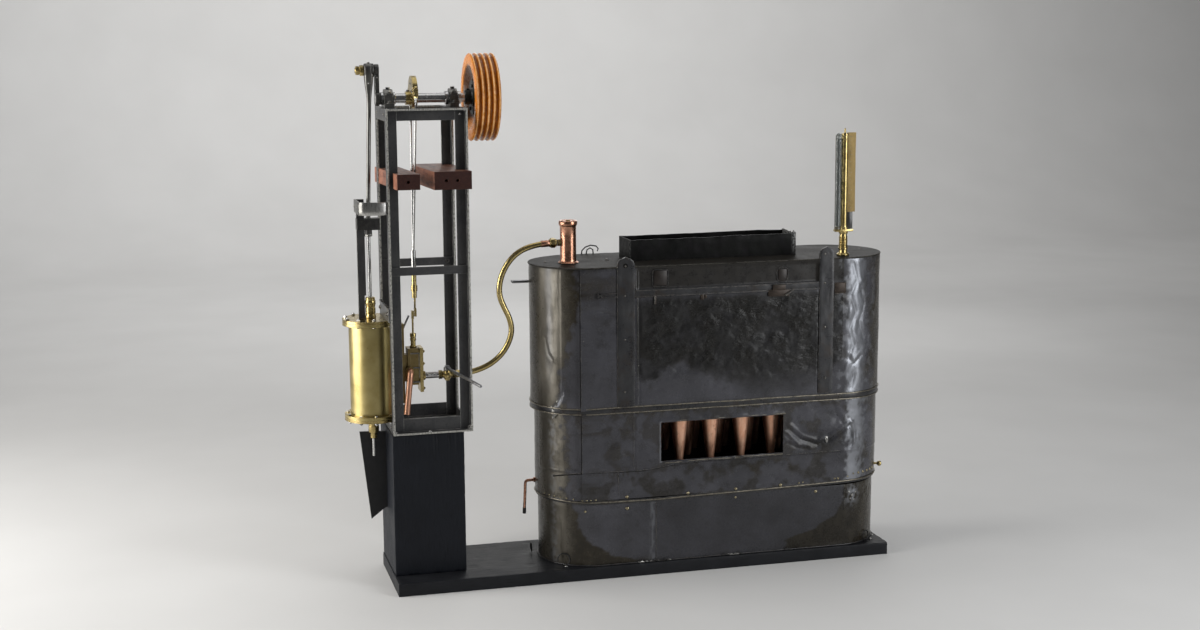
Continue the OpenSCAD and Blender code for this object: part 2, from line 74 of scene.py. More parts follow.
# ------------------------------------------------------------------ materials
class Mat:
    """A small helper for node materials. Patterns are in millimetres, on object coordinates."""

    def __init__(s, name):
        s.m = bpy.data.materials.new(name)
        s.m.use_nodes = True
        s.t = s.m.node_tree
        s.t.nodes.clear()
        s.out = s.t.nodes.new("ShaderNodeOutputMaterial")
        s.b = s.t.nodes.new("ShaderNodeBsdfPrincipled")
        s.t.links.new(s.b.outputs[0], s.out.inputs[0])
        tc = s.t.nodes.new("ShaderNodeTexCoord")
        s.mm = s.vmap(tc.outputs["Object"], (1000, 1000, 1000))

    def put(s, sock, v):
        if isinstance(v, bpy.types.NodeSocket):
            s.t.links.new(v, sock)
        elif isinstance(v, (tuple, list)) and len(v) == 3 and sock.type == "RGBA":
            sock.default_value = (*v, 1)
        else:
            sock.default_value = v

    def new(s, kind, ins=None, **props):
        n = s.t.nodes.new(kind)
        for k, v in props.items():
            setattr(n, k, v)
        for k, v in (ins or {}).items():
            s.put(n.inputs[k], v)
        return n

    def set(s, **kw):
        for k, v in kw.items():
            s.put(s.b.inputs[k.replace("_", " ")], v)
        return s

    def vmap(s, vec, scale=(1, 1, 1), loc=(0, 0, 0), rot=(0, 0, 0)):
        return s.new("ShaderNodeMapping", {"Vector": vec, "Scale": scale, "Location": loc, "Rotation": rot}).outputs[0]

    def noise(s, size, detail=4.0, rough=0.55, vec=None, dist=0.0, stretch=(1, 1, 1), loc=(0, 0, 0)):
        v = s.vmap(vec if vec is not None else s.mm, tuple(k / size for k in stretch), loc)
        return s.new("ShaderNodeTexNoise", {"Vector": v, "Scale": 1.0, "Detail": detail, "Roughness": rough, "Distortion": dist}).outputs["Fac"]

    def voro(s, size, feature="F1", vec=None, stretch=(1, 1, 1), rnd=1.0, out="Distance"):
        v = s.vmap(vec if vec is not None else s.mm, tuple(k / size for k in stretch))
        return s.new("ShaderNodeTexVoronoi", {"Vector": v, "Scale": 1.0, "Randomness": rnd}, feature=feature).outputs[out]

    def wave(s, size, axis="X", dist=0.0, detail=2.0, vec=None, stretch=(1, 1, 1), kind="BANDS", dscale=1.0):
        v = s.vmap(vec if vec is not None else s.mm, tuple(k / size for k in stretch))
        props = dict(wave_type=kind)
        if kind == "BANDS":
            props["bands_direction"] = axis
        else:
            props["rings_direction"] = axis
        return s.new("ShaderNodeTexWave", {"Vector": v, "Scale": 1.0, "Distortion": dist, "Detail": detail, "Detail Scale": dscale}, **props).outputs["Fac"]

    def ramp(s, fac, stops, interp="LINEAR"):
        n = s.new("ShaderNodeValToRGB", {"Fac": fac})
        n.color_ramp.interpolation = interp
        el = n.color_ramp.elements
        while len(el) < len(stops):
            el.new(0.5)
        for e, (p, c) in zip(el, stops):
            e.position = p
            e.color = (c, c, c, 1) if isinstance(c, (int, float)) else (*c, 1)
        return n.outputs[0]

    def rng(s, v, a, b, c=0.0, d=1.0, smooth=False):
        n = s.new("ShaderNodeMapRange", {"Value": v, "From Min": a, "From Max": b, "To Min": c, "To Max": d})
        if smooth:
            n.interpolation_type = "SMOOTHSTEP"
        return n.outputs[0]

    def mix(s, a, b, fac, mode="MIX"):
        n = s.new("ShaderNodeMix", data_type="RGBA", blend_type=mode)
        for k, v in ((0, fac), (6, a), (7, b)):
            s.put(n.inputs[k], v)
        return n.outputs[2]

    def math(s, op, a, b=0.0, clamp=False):
        n = s.new("ShaderNodeMath", {0: a, 1: b}, operation=op)
        n.use_clamp = clamp
        return n.outputs[0]

    def mul(s, a, b):
        return s.math("MULTIPLY", a, b)

    def add(s, a, b, clamp=False):
        return s.math("ADD", a, b, clamp)

    def attr(s, name):
        return s.new("ShaderNodeAttribute", attribute_name=name).outputs["Fac"]

    def xyz(s, vec=None):
        return s.new("ShaderNodeSeparateXYZ", {0: vec if vec is not None else s.mm}).outputs

    def bump(s, height, dist_mm, strength=1.0, normal=None):
        ins = {"Height": height, "Distance": dist_mm / 1000, "Strength": strength}
        if normal is not None:
            ins["Normal"] = normal
        return s.new("ShaderNodeBump", ins).outputs[0]

    def bevel(s, r_mm, samples=4):
        return s.new("ShaderNodeBevel", {"Radius": r_mm / 1000}, samples=samples).outputs[0]

    def edge(s, r_mm, lo=0.02, hi=0.25, samples=4):
        """1 on sharp edges, from how far a rounded normal turns from the true one."""
        g = s.new("ShaderNodeNewGeometry").outputs["True Normal"]
        d = s.new("ShaderNodeVectorMath", {0: s.bevel(r_mm, samples), 1: g}, operation="DOT_PRODUCT").outputs["Value"]
        return s.rng(s.math("SUBTRACT", 1.0, d), lo, hi)


MATS = {}


def M(name):
    return MATS[name]


def make_materials():
    # black painted softwood of the block: vertical grain showing through satin blue-black paint
    def wood_paint(name, base, hi, stretch, gsize, rough, wear_c, grain_depth=0.35):
        m = Mat(name)
        grain = m.noise(gsize, 5, 0.6, stretch=stretch)
        fine = m.noise(gsize * 0.35, 3, 0.6, stretch=stretch)
        cloud = m.noise(45, 3, 0.5)
        col = m.mix(base, hi, m.rng(cloud, 0.35, 0.7))
        col = m.mix(col, tuple(c * 0.45 for c in base), m.rng(fine, 0.55, 0.7))
        wear = m.mul(m.edge(0.9, 0.03, 0.4), m.rng(m.noise(5, 4, 0.7), 0.48, 0.62))
        col = m.mix(col, wear_c, m.mul(wear, 0.7))
        dust = m.rng(m.noise(0.9, 2, 0.5), 0.7, 0.78)
        col = m.mix(col, tuple(c * 2.6 for c in base), m.mul(dust, 0.25))
        h = m.add(m.mul(grain, 1.0), m.mul(fine, 0.5))
        m.set(Base_Color=col, Roughness=m.rng(m.add(fine, cloud), 0.6, 1.3, rough - 0.08, rough + 0.12),
              Normal=m.bump(h, grain_depth, 0.8, m.bevel(0.5)))
        m.b.inputs["Specular IOR Level"].default_value = 0.22
        MATS[name] = m.m

    wood_paint("black_block", (0.0044, 0.0056, 0.0088), (0.0072, 0.0088, 0.0130), (1, 1, 0.05), 1.6, 0.50, (0.035, 0.033, 0.031))
    wood_paint("black_board", (0.0075, 0.0080, 0.0100), (0.0130, 0.0138, 0.0165), (0.035, 1, 1), 1.9, 0.48, (0.05, 0.048, 0.046), 0.25)

    # tower: dark grey paint over iron, rubbed to bright metal along the edges and speckled on the forward lips
    m = Mat("tower_iron")
    n1 = m.noise(26, 4, 0.6)
    n2 = m.noise(3.2, 4, 0.65)
    streak = m.noise(4, 4, 0.6, stretch=(1, 1, 0.07))
    col = m.mix((0.036, 0.0365, 0.0385), (0.060, 0.0590, 0.0590), m.rng(n1, 0.35, 0.7))
    col = m.mix(col, (0.013, 0.0125, 0.012), m.mul(m.rng(n2, 0.56, 0.72), 0.7))
    col = m.mix(col, (0.075, 0.072, 0.066), m.mul(m.rng(streak, 0.56, 0.72), 0.35))
    rubbed = m.mul(m.edge(0.8, 0.02, 0.3), m.rng(m.noise(7, 4, 0.7), 0.34, 0.5))
    specks = m.mul(m.rng(m.noise(1.1, 3, 0.6), 0.69, 0.74), 0.5)
    # the narrow front faces of the lips carry bare, scratched metal
    x, y, z = m.xyz()
    nrm = m.xyz(m.new("ShaderNodeNewGeometry").outputs["True Normal"])
    front = m.rng(nrm[1], -0.7, -0.9)
    lip_a = m.mul(m.rng(y, OY * 1000 + 31.0, OY * 1000 + 31.5), m.rng(y, OY * 1000 + 34.0, OY * 1000 + 33.0))
    lip_b = m.mul(m.rng(y, OY * 1000 + 124.0, OY * 1000 + 124.5), m.rng(y, OY * 1000 + 127.0, OY * 1000 + 126.0))
    scr = m.rng(m.noise(1.5, 4, 0.7, stretch=(1, 1, 0.45)), 0.36, 0.56)
    lip = m.mul(m.mul(front, m.math("MAXIMUM", lip_a, lip_b)), scr)
    bare = m.math("MAXIMUM", m.math("MAXIMUM", m.mul(rubbed, 0.75), specks), m.mul(lip, 0.95))
    col = m.mix(col, (0.60, 0.59, 0.54), bare)
    m.set(Base_Color=col, Metallic=m.rng(bare, 0, 1, 0.10, 0.9), Roughness=m.rng(m.add(n2, n1), 0.7, 1.3, 0.38, 0.52),
          Normal=m.bump(m.add(m.mul(n2, 0.5), m.mul(n1, 1.2)), 0.30, 0.8, m.bevel(0.45)))
    m.b.inputs["Specular IOR Level"].default_value = 0.4
    MATS["tower_iron"] = m.m

    # mahogany bearers: grain along Y
    m = Mat("mahogany")
    g = m.noise(2.4, 6, 0.62, stretch=(1, 0.035, 1), dist=0.3)
    pores = m.noise(0.55, 3, 0.6, stretch=(1, 0.05, 1))
    end = m.noise(1.3, 5, 0.65)
    cloud = m.noise(22, 3, 0.5)
    nn = m.xyz(m.new("ShaderNodeNewGeometry").outputs["Normal"])
    col = m.ramp(g, [(0.30, (0.040, 0.010, 0.006)), (0.5, (0.088, 0.024, 0.013)), (0.68, (0.15, 0.050, 0.026))])
    col = m.mix(col, (0.020, 0.006, 0.004), m.mul(m.rng(pores, 0.58, 0.68), 0.75))
    col = m.mix(col, (0.12, 0.045, 0.028), m.mul(m.rng(cloud, 0.5, 0.75), 0.35))
    # the sawn front ends are darker
    col = m.mix(col, (0.023, 0.0078, 0.0065), m.mul(m.rng(nn[1], -0.6, -0.9), m.rng(end, 0.36, 0.62, 0.62, 0.97)))
    worn = m.mul(m.rng(nn[2], 0.6, 0.95), m.rng(m.noise(9, 4, 0.6, stretch=(1, 0.3, 1)), 0.40, 0.62))
    col = m.mix(col, (0.30, 0.165, 0.11), m.mul(worn, 0.6))
    # painted light: faces turned to the left are lightened as if lit from that side
    left = m.mul(m.rng(nn[0], -0.6, -0.95), m.rng(m.noise(7, 4, 0.6, stretch=(1, 0.3, 1)), 0.30, 0.55))
    col = m.mix(col, (0.36, 0.16, 0.10), m.mul(left, 0.6))
    ed = m.mul(m.edge(0.8, 0.03, 0.35), m.rng(m.noise(4, 4, 0.7), 0.42, 0.6))
    col = m.mix(col, (0.33, 0.16, 0.09), m.mul(ed, 0.55))
    m.set(Base_Color=col, Roughness=m.rng(m.add(g, end), 0.7, 1.3, 0.36, 0.56), Normal=m.bump(m.add(g, m.mul(pores, 0.7)), 0.22, 0.8, m.bevel(0.6)))
    m.b.inputs["Specular IOR Level"].default_value = 0.28
    MATS["mahogany"] = m.m

    # metals
    def metal(name, c0, c1, dark, rough0, rough1, size=6.0, edge_c=None, brush=None, bev=0.3, bump_mm=0.05, metallic=1.0, dirt=0.6, fine=None):
        m = Mat(name)
        cloud = m.noise(size, 4, 0.6)
        grain = m.noise(fine or size * 0.12, 3, 0.6, stretch=brush or (1, 1, 1))
        col = m.mix(c0, c1, m.rng(cloud, 0.32, 0.68))
        spots = m.rng(m.noise(size * 0.45, 5, 0.7, loc=(3.1, 7.7, 1.9)), 0.55, 0.72)
        col = m.mix(col, dark, m.mul(spots, dirt))
        if edge_c is not None:
            e = m.mul(m.edge(0.5, 0.02, 0.3), m.rng(m.noise(size * 0.6, 3, 0.6), 0.3, 0.55))
            col = m.mix(col, edge_c, m.mul(e, 0.8))
        r = m.rng(m.add(m.mul(cloud, 0.6), m.mul(grain, 0.8)), 0.45, 0.95, rough0, rough1)
        m.set(Base_Color=col, Metallic=metallic, Roughness=r, Normal=m.bump(m.add(grain, m.mul(cloud, 0.6)), bump_mm, 0.7, m.bevel(bev)))
        MATS[name] = m.m
        return m

    metal("dark_iron", (0.040, 0.040, 0.040), (0.075, 0.072, 0.068), (0.016, 0.0135, 0.012), 0.34, 0.52, 5, (0.30, 0.29, 0.27), bump_mm=0.09, metallic=0.75)
    metal("crank_iron", (0.050, 0.049, 0.047), (0.085, 0.082, 0.077), (0.022, 0.019, 0.016), 0.30, 0.46, 6, (0.50, 0.49, 0.46), bump_mm=0.08, metallic=0.8)
    metal("black_iron", (0.0068, 0.0072, 0.0080), (0.012, 0.012, 0.0135), (0.004, 0.004, 0.004), 0.36, 0.5, 8, (0.07, 0.07, 0.07), metallic=0.2)
    metal("hub_iron", (0.012, 0.014, 0.012), (0.022, 0.025, 0.021), (0.007, 0.008, 0.006), 0.30, 0.44, 8, (0.20, 0.20, 0.18), metallic=0.4)
    metal("forged_steel", (0.13, 0.128, 0.122), (0.23, 0.225, 0.21), (0.05, 0.045, 0.040), 0.26, 0.44, 7, (0.55, 0.54, 0.50), bump_mm=0.08)
    metal("bright_steel", (0.42, 0.42, 0.42), (0.56, 0.555, 0.54), (0.17, 0.145, 0.12), 0.15, 0.30, 8, bump_mm=0.025, dirt=0.4)
    metal("grey_steel", (0.16, 0.165, 0.175), (0.26, 0.26, 0.26), (0.08, 0.075, 0.07), 0.30, 0.46, 7, (0.50, 0.50, 0.48), bump_mm=0.05)
    metal("brass", (0.37, 0.285, 0.112), (0.50, 0.395, 0.175), (0.15, 0.10, 0.037), 0.18, 0.34, 7, (0.72, 0.61, 0.35), bump_mm=0.03, dirt=0.5)
    metal("old_brass", (0.165, 0.120, 0.052), (0.235, 0.180, 0.082), (0.060, 0.040, 0.018), 0.32, 0.48, 9, (0.62, 0.52, 0.30), bump_mm=0.05)
    metal("pipe_brass", (0.42, 0.325, 0.130), (0.52, 0.415, 0.185), (0.24, 0.17, 0.065), 0.20, 0.30, 22, bump_mm=0.008, dirt=0.35)
    metal("pipe_copper", (0.52, 0.265, 0.170), (0.62, 0.345, 0.235), (0.34, 0.150, 0.096), 0.30, 0.40, 16, bump_mm=0.006, dirt=0.3, metallic=0.85)
    metal("brass_stud", (0.22, 0.185, 0.115), (0.38, 0.33, 0.215), (0.07, 0.05, 0.03), 0.2, 0.36, 2.2, (0.62, 0.56, 0.42), bump_mm=0.05)
    metal("bead_wire", (0.125, 0.112, 0.088), (0.24, 0.218, 0.175), (0.035, 0.027, 0.019), 0.24, 0.38, 4, (0.52, 0.48, 0.40), bump_mm=0.05, metallic=0.85)
    metal("copper", (0.42, 0.208, 0.132), (0.56, 0.303, 0.205), (0.17, 0.075, 0.047), 0.18, 0.34, 5, (0.78, 0.54, 0.42), bump_mm=0.05, dirt=0.5)
    metal("solder", (0.27, 0.265, 0.25), (0.44, 0.43, 0.41), (0.07, 0.063, 0.055), 0.22, 0.42, 2.5, bump_mm=0.12)
    metal("umber_iron", (0.0100, 0.0070, 0.0054), (0.0200, 0.0140, 0.0106), (0.0055, 0.0045, 0.0040), 0.30, 0.46, 5, bump_mm=0.06, metallic=0.3)
    metal("rust_iron", (0.021, 0.0150, 0.0112), (0.042, 0.0290, 0.0205), (0.012, 0.009, 0.007), 0.34, 0.5, 3.5, (0.26, 0.21, 0.16), bump_mm=0.10, metallic=0.5)

    # drawn rods: even steel with fine lengthwise lines and slow tarnish
    def rod_metal(name, c0, c1, dark, r0, r1):
        m = Mat(name)
        slow = m.noise(30, 3, 0.5, stretch=(1, 1, 0.6))
        line = m.noise(0.5, 3, 0.6, stretch=(1, 1, 0.03))
        col = m.mix(c0, c1, m.rng(slow, 0.35, 0.65))
        col = m.mix(col, dark, m.mul(m.rng(m.noise(11, 4, 0.6, stretch=(1, 1, 0.5)), 0.56, 0.72), 0.6))
        m.set(Base_Color=col, Metallic=1.0, Roughness=m.rng(m.add(slow, line), 0.7, 1.3, r0, r1), Normal=m.bump(line, 0.012, 0.6, m.bevel(0.25)))
        MATS[name] = m.m

    rod_metal("rod_steel", (0.36, 0.36, 0.355), (0.46, 0.455, 0.44), (0.16, 0.14, 0.115), 0.18, 0.30)
    rod_metal("rod_dark", (0.115, 0.113, 0.107), (0.18, 0.177, 0.166), (0.055, 0.048, 0.041), 0.28, 0.42)
    rod_metal("strap_steel", (0.36, 0.355, 0.34), (0.52, 0.51, 0.49), (0.16, 0.15, 0.135), 0.22, 0.34)

    # cylinder tube: satin brass, brushed upright with faint rings
    m = Mat("barrel_brass")
    vert = m.noise(1.2, 4, 0.6, stretch=(1, 1, 0.03))
    cloud = m.noise(18, 4, 0.55)
    rings = m.noise(0.7, 3, 0.6, stretch=(0.02, 0.02, 1))
    col = m.mix((0.37, 0.295, 0.115), (0.49, 0.405, 0.185), m.rng(cloud, 0.3, 0.7))
    col = m.mix(col, (0.23, 0.172, 0.068), m.mul(m.rng(m.noise(9, 5, 0.7), 0.56, 0.75), 0.35))
    m.set(Base_Color=col, Metallic=1.0, Roughness=m.rng(m.add(vert, cloud), 0.65, 1.35, 0.26, 0.40),
          Normal=m.bump(m.add(m.mul(vert, 0.6), m.mul(rings, 0.4)), 0.02, 0.6, m.bevel(0.3)))
    MATS["barrel_brass"] = m.m

    # pulley: turned hardwood under glossy orange varnish
    m = Mat("varnished_wood")
    v = m.vmap(m.mm, (1, 1, 1), (0, -(OY * 1000 + 85.5), -667.0))
    x, y, z = m.xyz(v)
    rad = m.math("SQRT", m.add(m.mul(y, y), m.mul(z, z)))
    g = m.noise(3.2, 5, 0.6, vec=m.vmap(v, (0.25, 1.0, 0.12)), dist=0.5)
    fig = m.noise(19, 3, 0.55, vec=v, stretch=(0.6, 1, 0.5))
    turn = m.noise(0.6, 3, 0.6, vec=m.new("ShaderNodeCombineXYZ", {0: x, 1: rad, 2: 0.0}).outputs[0])
    col = m.ramp(g, [(0.30, (0.400, 0.115, 0.010)), (0.48, (0.560, 0.180, 0.015)), (0.62, (0.660, 0.235, 0.022)), (0.8, (0.720, 0.285, 0.036))])
    col = m.mix(col, (0.25, 0.072, 0.014), m.mul(m.rng(fig, 0.52, 0.74), 0.40))
    # painted shade in the grooves of the tread, darker towards their bottoms
    nx = m.xyz(m.new("ShaderNodeNewGeometry").outputs["Normal"])[0]
    rim = m.rng(m.math("ABSOLUTE", nx), 0.93, 0.75)
    tread = m.mul(rim, m.rng(rad, 50.0, 53.0))
    groove_shade = m.rng(rad, 59.1, 57.0)
    col = m.mix(col, (0.230, 0.066, 0.008), m.mul(tread, m.mul(groove_shade, 0.75)))
    # painted highlight: the crests of the tread are lightened to beige
    crest_highlight = m.mul(tread, m.rng(rad, 58.75, 59.22))
    col = m.mix(col, (0.90, 0.56, 0.26), m.mul(crest_highlight, m.rng(m.noise(4, 4, 0.6), 0.35, 0.6, 0.4, 0.95)))
    # painted shade in the dish of the face: darkened round the hub and over all but the lowest part of its inner slope,
    # where the light falls
    dish_upper_shade = m.rng(m.add(z, m.mul(m.add(fig, -0.5), 9)), -31.5, -26.0)
    col = m.mix(col, (0.030, 0.0125, 0.0075), m.mul(m.rng(rad, 45.5, 42.0, 0.0, 0.93), m.math("MAXIMUM", dish_upper_shade, m.rng(rad, 29.5, 26.5))))
    m.set(Base_Color=col, Roughness=m.rng(m.noise(8, 3, 0.6), 0.35, 0.7, 0.22, 0.34), Normal=m.bump(m.add(m.mul(turn, 0.5), m.mul(g, 0.3)), 0.04, 0.6))
    m.b.inputs["Coat Weight"].default_value = 0.20
    m.b.inputs["Coat Roughness"].default_value = 0.13
    m.b.inputs["Specular IOR Level"].default_value = 0.2
    MATS["varnished_wood"] = m.m

    # sheet iron of the boiler: dark glossy skin, faint bronze and olive stains, bare tin where it is crumpled, and a
    # painted blue-grey sheen in the base colour
    def sheet(name):
        m = Mat(name)
        brown, pit, silver, soot_and_shade = (m.attr(a) for a in ("brown", "pit", "silver", "soot_and_shade"))
        big = m.noise(60, 4, 0.55)
        mid = m.noise(14, 5, 0.62)
        small = m.noise(3.0, 5, 0.65)
        run = m.noise(6, 4, 0.6, stretch=(1, 1, 0.12))
        # blue-grey base: partly the sheet's own dark tone, partly a painted blue-grey sheen carried in the diffuse
        # colour
        col = m.mix((0.0430, 0.0428, 0.0480), (0.0690, 0.0690, 0.0790), m.rng(big, 0.35, 0.68))
        col = m.mix(col, (0.0200, 0.0195, 0.0185), m.mul(m.rng(mid, 0.53, 0.74), 0.55))
        # bronze stain
        x, y, z = m.xyz()
        # the left end is rubbed in one upright band
        yy = m.add(y, m.mul(m.add(big, -0.5), 16))
        rub = m.mul(m.rng(yy, OY * 1000 + 60, OY * 1000 + 44), m.rng(yy, OY * 1000 + 12, OY * 1000 + 23))
        left = m.mul(m.rng(x, OX * 1000 + 252, OX * 1000 + 234), m.add(m.mul(rub, 0.68), 0.32))
        ends = m.math("MAXIMUM", left, m.mul(m.rng(x, OX * 1000 + 672, OX * 1000 + 690), 0.24))
        gloss = m.mul(ends, m.math("MINIMUM", brown, 1.0))
        bro = m.mix((0.0165, 0.0135, 0.0088), (0.036, 0.0295, 0.0190), m.rng(mid, 0.35, 0.68))
        bro = m.mix(bro, m.mix((0.070, 0.063, 0.050), (0.142, 0.131, 0.110), m.rng(big, 0.35, 0.66)), gloss)
        bro = m.mix(bro, (0.0150, 0.0105, 0.0062), m.mul(m.rng(run, 0.54, 0.74), 0.5))
        col = m.mix(col, bro, m.math("MINIMUM", brown, 1.0))
        # dark olive skin of wrinkled soot; the last attribute adds soot over the door plus painted shadow under the lid
        # and painted shade under the fire window's lip
        blot = m.mul(pit, m.rng(m.add(m.mul(mid, 0.6), m.mul(small, 0.5)), 0.47, 0.62))
        col = m.mix(col, (0.0052, 0.0050, 0.0037), m.mul(blot, 0.75))
        col = m.mix(col, m.mix((0.0028, 0.0026, 0.0021), (0.0078, 0.0075, 0.0070), m.rng(mid, 0.36, 0.66)), m.mul(soot_and_shade, 0.92))
        # rubbed tin
        tin = m.mul(silver, m.rng(m.add(m.mul(small, 0.25), m.mul(m.noise(11, 4, 0.55, stretch=(1, 1, 0.4)), 0.85)), 0.27, 0.52))
        col = m.mix(col, (0.235, 0.243, 0.262), tin)
        specks = m.mul(m.rng(m.noise(1.6, 3, 0.6), 0.70, 0.75), m.rng(mid, 0.5, 0.62))
        col = m.mix(col, (0.085, 0.078, 0.070), m.mul(specks, 0.5))
        rough = m.rng(m.add(m.mul(mid, 0.5), m.mul(small, 0.5)), 0.35, 0.65, 0.20, 0.32)
        rough = m.add(rough, m.mul(pit, -0.05))
        rough = m.add(rough, m.mul(tin, 0.13))
        rough = m.add(rough, m.mul(gloss, 0.07))
        rough = m.add(rough, m.mul(soot_and_shade, 0.06), True)
        wrinkle = m.noise(2.9, 4, 0.55, stretch=(0.55, 1, 1.15), dist=0.5)
        pimple = m.rng(m.voro(2.2), 0.05, 0.5, 1.0, 0.0)
        h = m.add(m.mul(m.mul(wrinkle, m.add(m.mul(pit, 1.0), 0.05)), 1.0), m.mul(small, 0.06))
        h = m.add(h, m.mul(m.mul(pimple, silver), 0.03))
        m.set(Base_Color=col, Metallic=m.math("MAXIMUM", m.rng(tin, 0, 1, 0.06, 1.0), m.mul(gloss, 0.7)), Roughness=rough, Normal=m.bump(h, 0.46, 0.8))
        m.b.inputs["Specular IOR Level"].default_value = 0.30
        MATS[name] = m.m

    sheet("sheet_iron")

    # straps, beads and lid: the same iron with worn edges, without the skin's own attributes
    m = Mat("strap_iron")
    cloud, small = m.noise(24, 4, 0.6), m.noise(2.6, 5, 0.65)
    col = m.mix((0.0175, 0.0178, 0.0200), (0.032, 0.032, 0.034), m.rng(cloud, 0.35, 0.68))
    col = m.mix(col, (0.025, 0.0175, 0.0125), m.mul(m.rng(m.noise(17, 4, 0.65, loc=(5, 2, 9)), 0.50, 0.66), 0.7))
    col = m.mix(col, (0.0095, 0.0088, 0.0080), m.mul(m.rng(small, 0.55, 0.72), 0.6))
    e = m.mul(m.edge(0.7, 0.02, 0.3), m.rng(m.noise(6, 4, 0.65), 0.38, 0.56))
    col = m.mix(col, (0.34, 0.315, 0.275), m.mul(e, 0.85))
    m.set(Base_Color=col, Metallic=m.rng(e, 0, 1, 0.25, 0.8), Roughness=m.rng(m.add(cloud, small), 0.7, 1.3, 0.24, 0.40),
          Normal=m.bump(m.add(m.mul(small, 0.4), cloud), 0.22, 0.7, m.bevel(0.35)))
    MATS["strap_iron"] = m.m

    m = Mat("lid_iron")
    cloud, small = m.noise(40, 5, 0.6, stretch=(0.5, 1, 1)), m.noise(3.0, 5, 0.65)
    col = m.mix((0.0140, 0.0130, 0.0114), (0.0262, 0.0239, 0.0207), m.rng(cloud, 0.35, 0.66))
    col = m.mix(col, (0.018, 0.0145, 0.0108), m.mul(m.rng(m.noise(11, 5, 0.65, loc=(5, 2, 9)), 0.52, 0.68), 0.75))
    col = m.mix(col, (0.012, 0.011, 0.0095), m.mul(m.rng(small, 0.56, 0.70), 0.5))
    e = m.mul(m.edge(0.7, 0.02, 0.3), m.rng(m.noise(9, 4, 0.65), 0.32, 0.52))
    col = m.mix(col, (0.42, 0.40, 0.355), m.mul(e, 0.95))
    m.set(Base_Color=col, Metallic=m.rng(e, 0, 1, 0.0, 0.8), Roughness=m.rng(m.add(cloud, small), 0.7, 1.3, 0.42, 0.60),
          Normal=m.bump(m.add(m.mul(small, 0.35), cloud), 0.35, 0.7))
    m.b.inputs["Specular IOR Level"].default_value = 0.03
    MATS["lid_iron"] = m.m

    # flue box: dull sooty black with greenish bloom
    m = Mat("flue_iron")
    cloud, small = m.noise(34, 5, 0.6), m.noise(2.8, 5, 0.65)
    col = m.mix((0.0030, 0.0032, 0.0029), (0.0068, 0.0069, 0.0060), m.rng(cloud, 0.35, 0.68))
    col = m.mix(col, (0.0105, 0.0085, 0.0108), m.mul(m.rng(m.noise(21, 3, 0.5, loc=(9, 1, 4)), 0.5, 0.7), 0.7))
    col = m.mix(col, (0.004, 0.004, 0.0035), m.mul(m.rng(small, 0.55, 0.7), 0.6))
    e = m.mul(m.edge(0.7, 0.02, 0.3), m.rng(m.noise(5, 4, 0.65), 0.44, 0.60))
    tin = m.math("MAXIMUM", m.mul(e, 0.5), m.mul(m.attr("silver"), m.rng(small, 0.42, 0.58)))
    col = m.mix(col, (0.34, 0.34, 0.33), tin)
    m.set(Base_Color=col, Metallic=m.rng(tin, 0, 1, 0.1, 1.0), Roughness=m.rng(m.add(cloud, small), 0.7, 1.3, 0.40, 0.60),
          Normal=m.bump(m.add(m.mul(small, 0.5), cloud), 0.35, 0.7))
    m.b.inputs["Specular IOR Level"].default_value = 0.13
    MATS["flue_iron"] = m.m

    # inside of the firebox; the same dark material stands in as painted shade in the strap hole and the exhaust bore
    m = Mat("soot_and_shade")
    small = m.noise(2.4, 5, 0.65)
    col = m.mix((0.0030, 0.0028, 0.0027), (0.009, 0.0075, 0.0065), m.rng(small, 0.4, 0.7))
    m.set(Base_Color=col, Roughness=0.85, Normal=m.bump(small, 0.4, 0.8))
    m.b.inputs["Specular IOR Level"].default_value = 0.2
    MATS["soot_and_shade"] = m.m

    # water cones: bare copper with dark mottling, with painted shade on the flanks and towards the back rows
    m = Mat("cone_copper")
    x, y, z = m.xyz()
    mott = m.noise(5, 5, 0.62, stretch=(1, 1, 0.35))
    col = m.mix((0.80, 0.40, 0.25), (0.95, 0.58, 0.40), m.rng(mott, 0.34, 0.66))
    col = m.mix(col, (0.22, 0.09, 0.055), m.mul(m.rng(m.noise(8, 5, 0.7, loc=(2, 8, 5)), 0.56, 0.74), 0.6))
    # painted shade: flanks turned sideways are darkened
    flank_shade = m.rng(m.math("ABSOLUTE", m.xyz(m.new("ShaderNodeNewGeometry").outputs["Normal"])[0]), 0.42, 0.88)
    col = m.mix(col, (0.085, 0.030, 0.016), m.mul(flank_shade, m.rng(mott, 0.3, 0.7, 0.75, 1.0)))
    # painted shade: the back rows, deeper in the firebox, are darkened
    back = m.rng(y, (OY * 1000) + 55, (OY * 1000) + 64)
    col = m.mix(col, (0.080, 0.032, 0.021), m.mul(back, 0.6))
    m.set(Base_Color=col, Metallic=0.7, Roughness=m.rng(mott, 0.3, 0.7, 0.30, 0.46), Normal=m.bump(mott, 0.10, 0.7))
    MATS["cone_copper"] = m.m

    # gauge tube
    m = Mat("gauge_glass")
    film = m.noise(7, 4, 0.6, stretch=(1, 1, 0.3))
    m.set(Base_Color=m.mix((0.50, 0.53, 0.51), (0.30, 0.32, 0.30), m.rng(film, 0.35, 0.7)), Roughness=m.rng(film, 0.3, 0.7, 0.04, 0.18),
          Normal=m.bump(film, 0.03, 0.5))
    m.b.inputs["Transmission Weight"].default_value = 0.86
    m.b.inputs["IOR"].default_value = 1.45
    MATS["gauge_glass"] = m.m

    m = Mat("gauge_back")
    film = m.noise(5, 4, 0.6, stretch=(1, 1, 0.25))
    m.set(Base_Color=m.mix((0.022, 0.022, 0.020), (0.045, 0.044, 0.040), m.rng(film, 0.35, 0.68)), Roughness=m.rng(film, 0.3, 0.7, 0.2, 0.34), Normal=m.bump(film, 0.05, 0.5))
    MATS["gauge_back"] = m.m

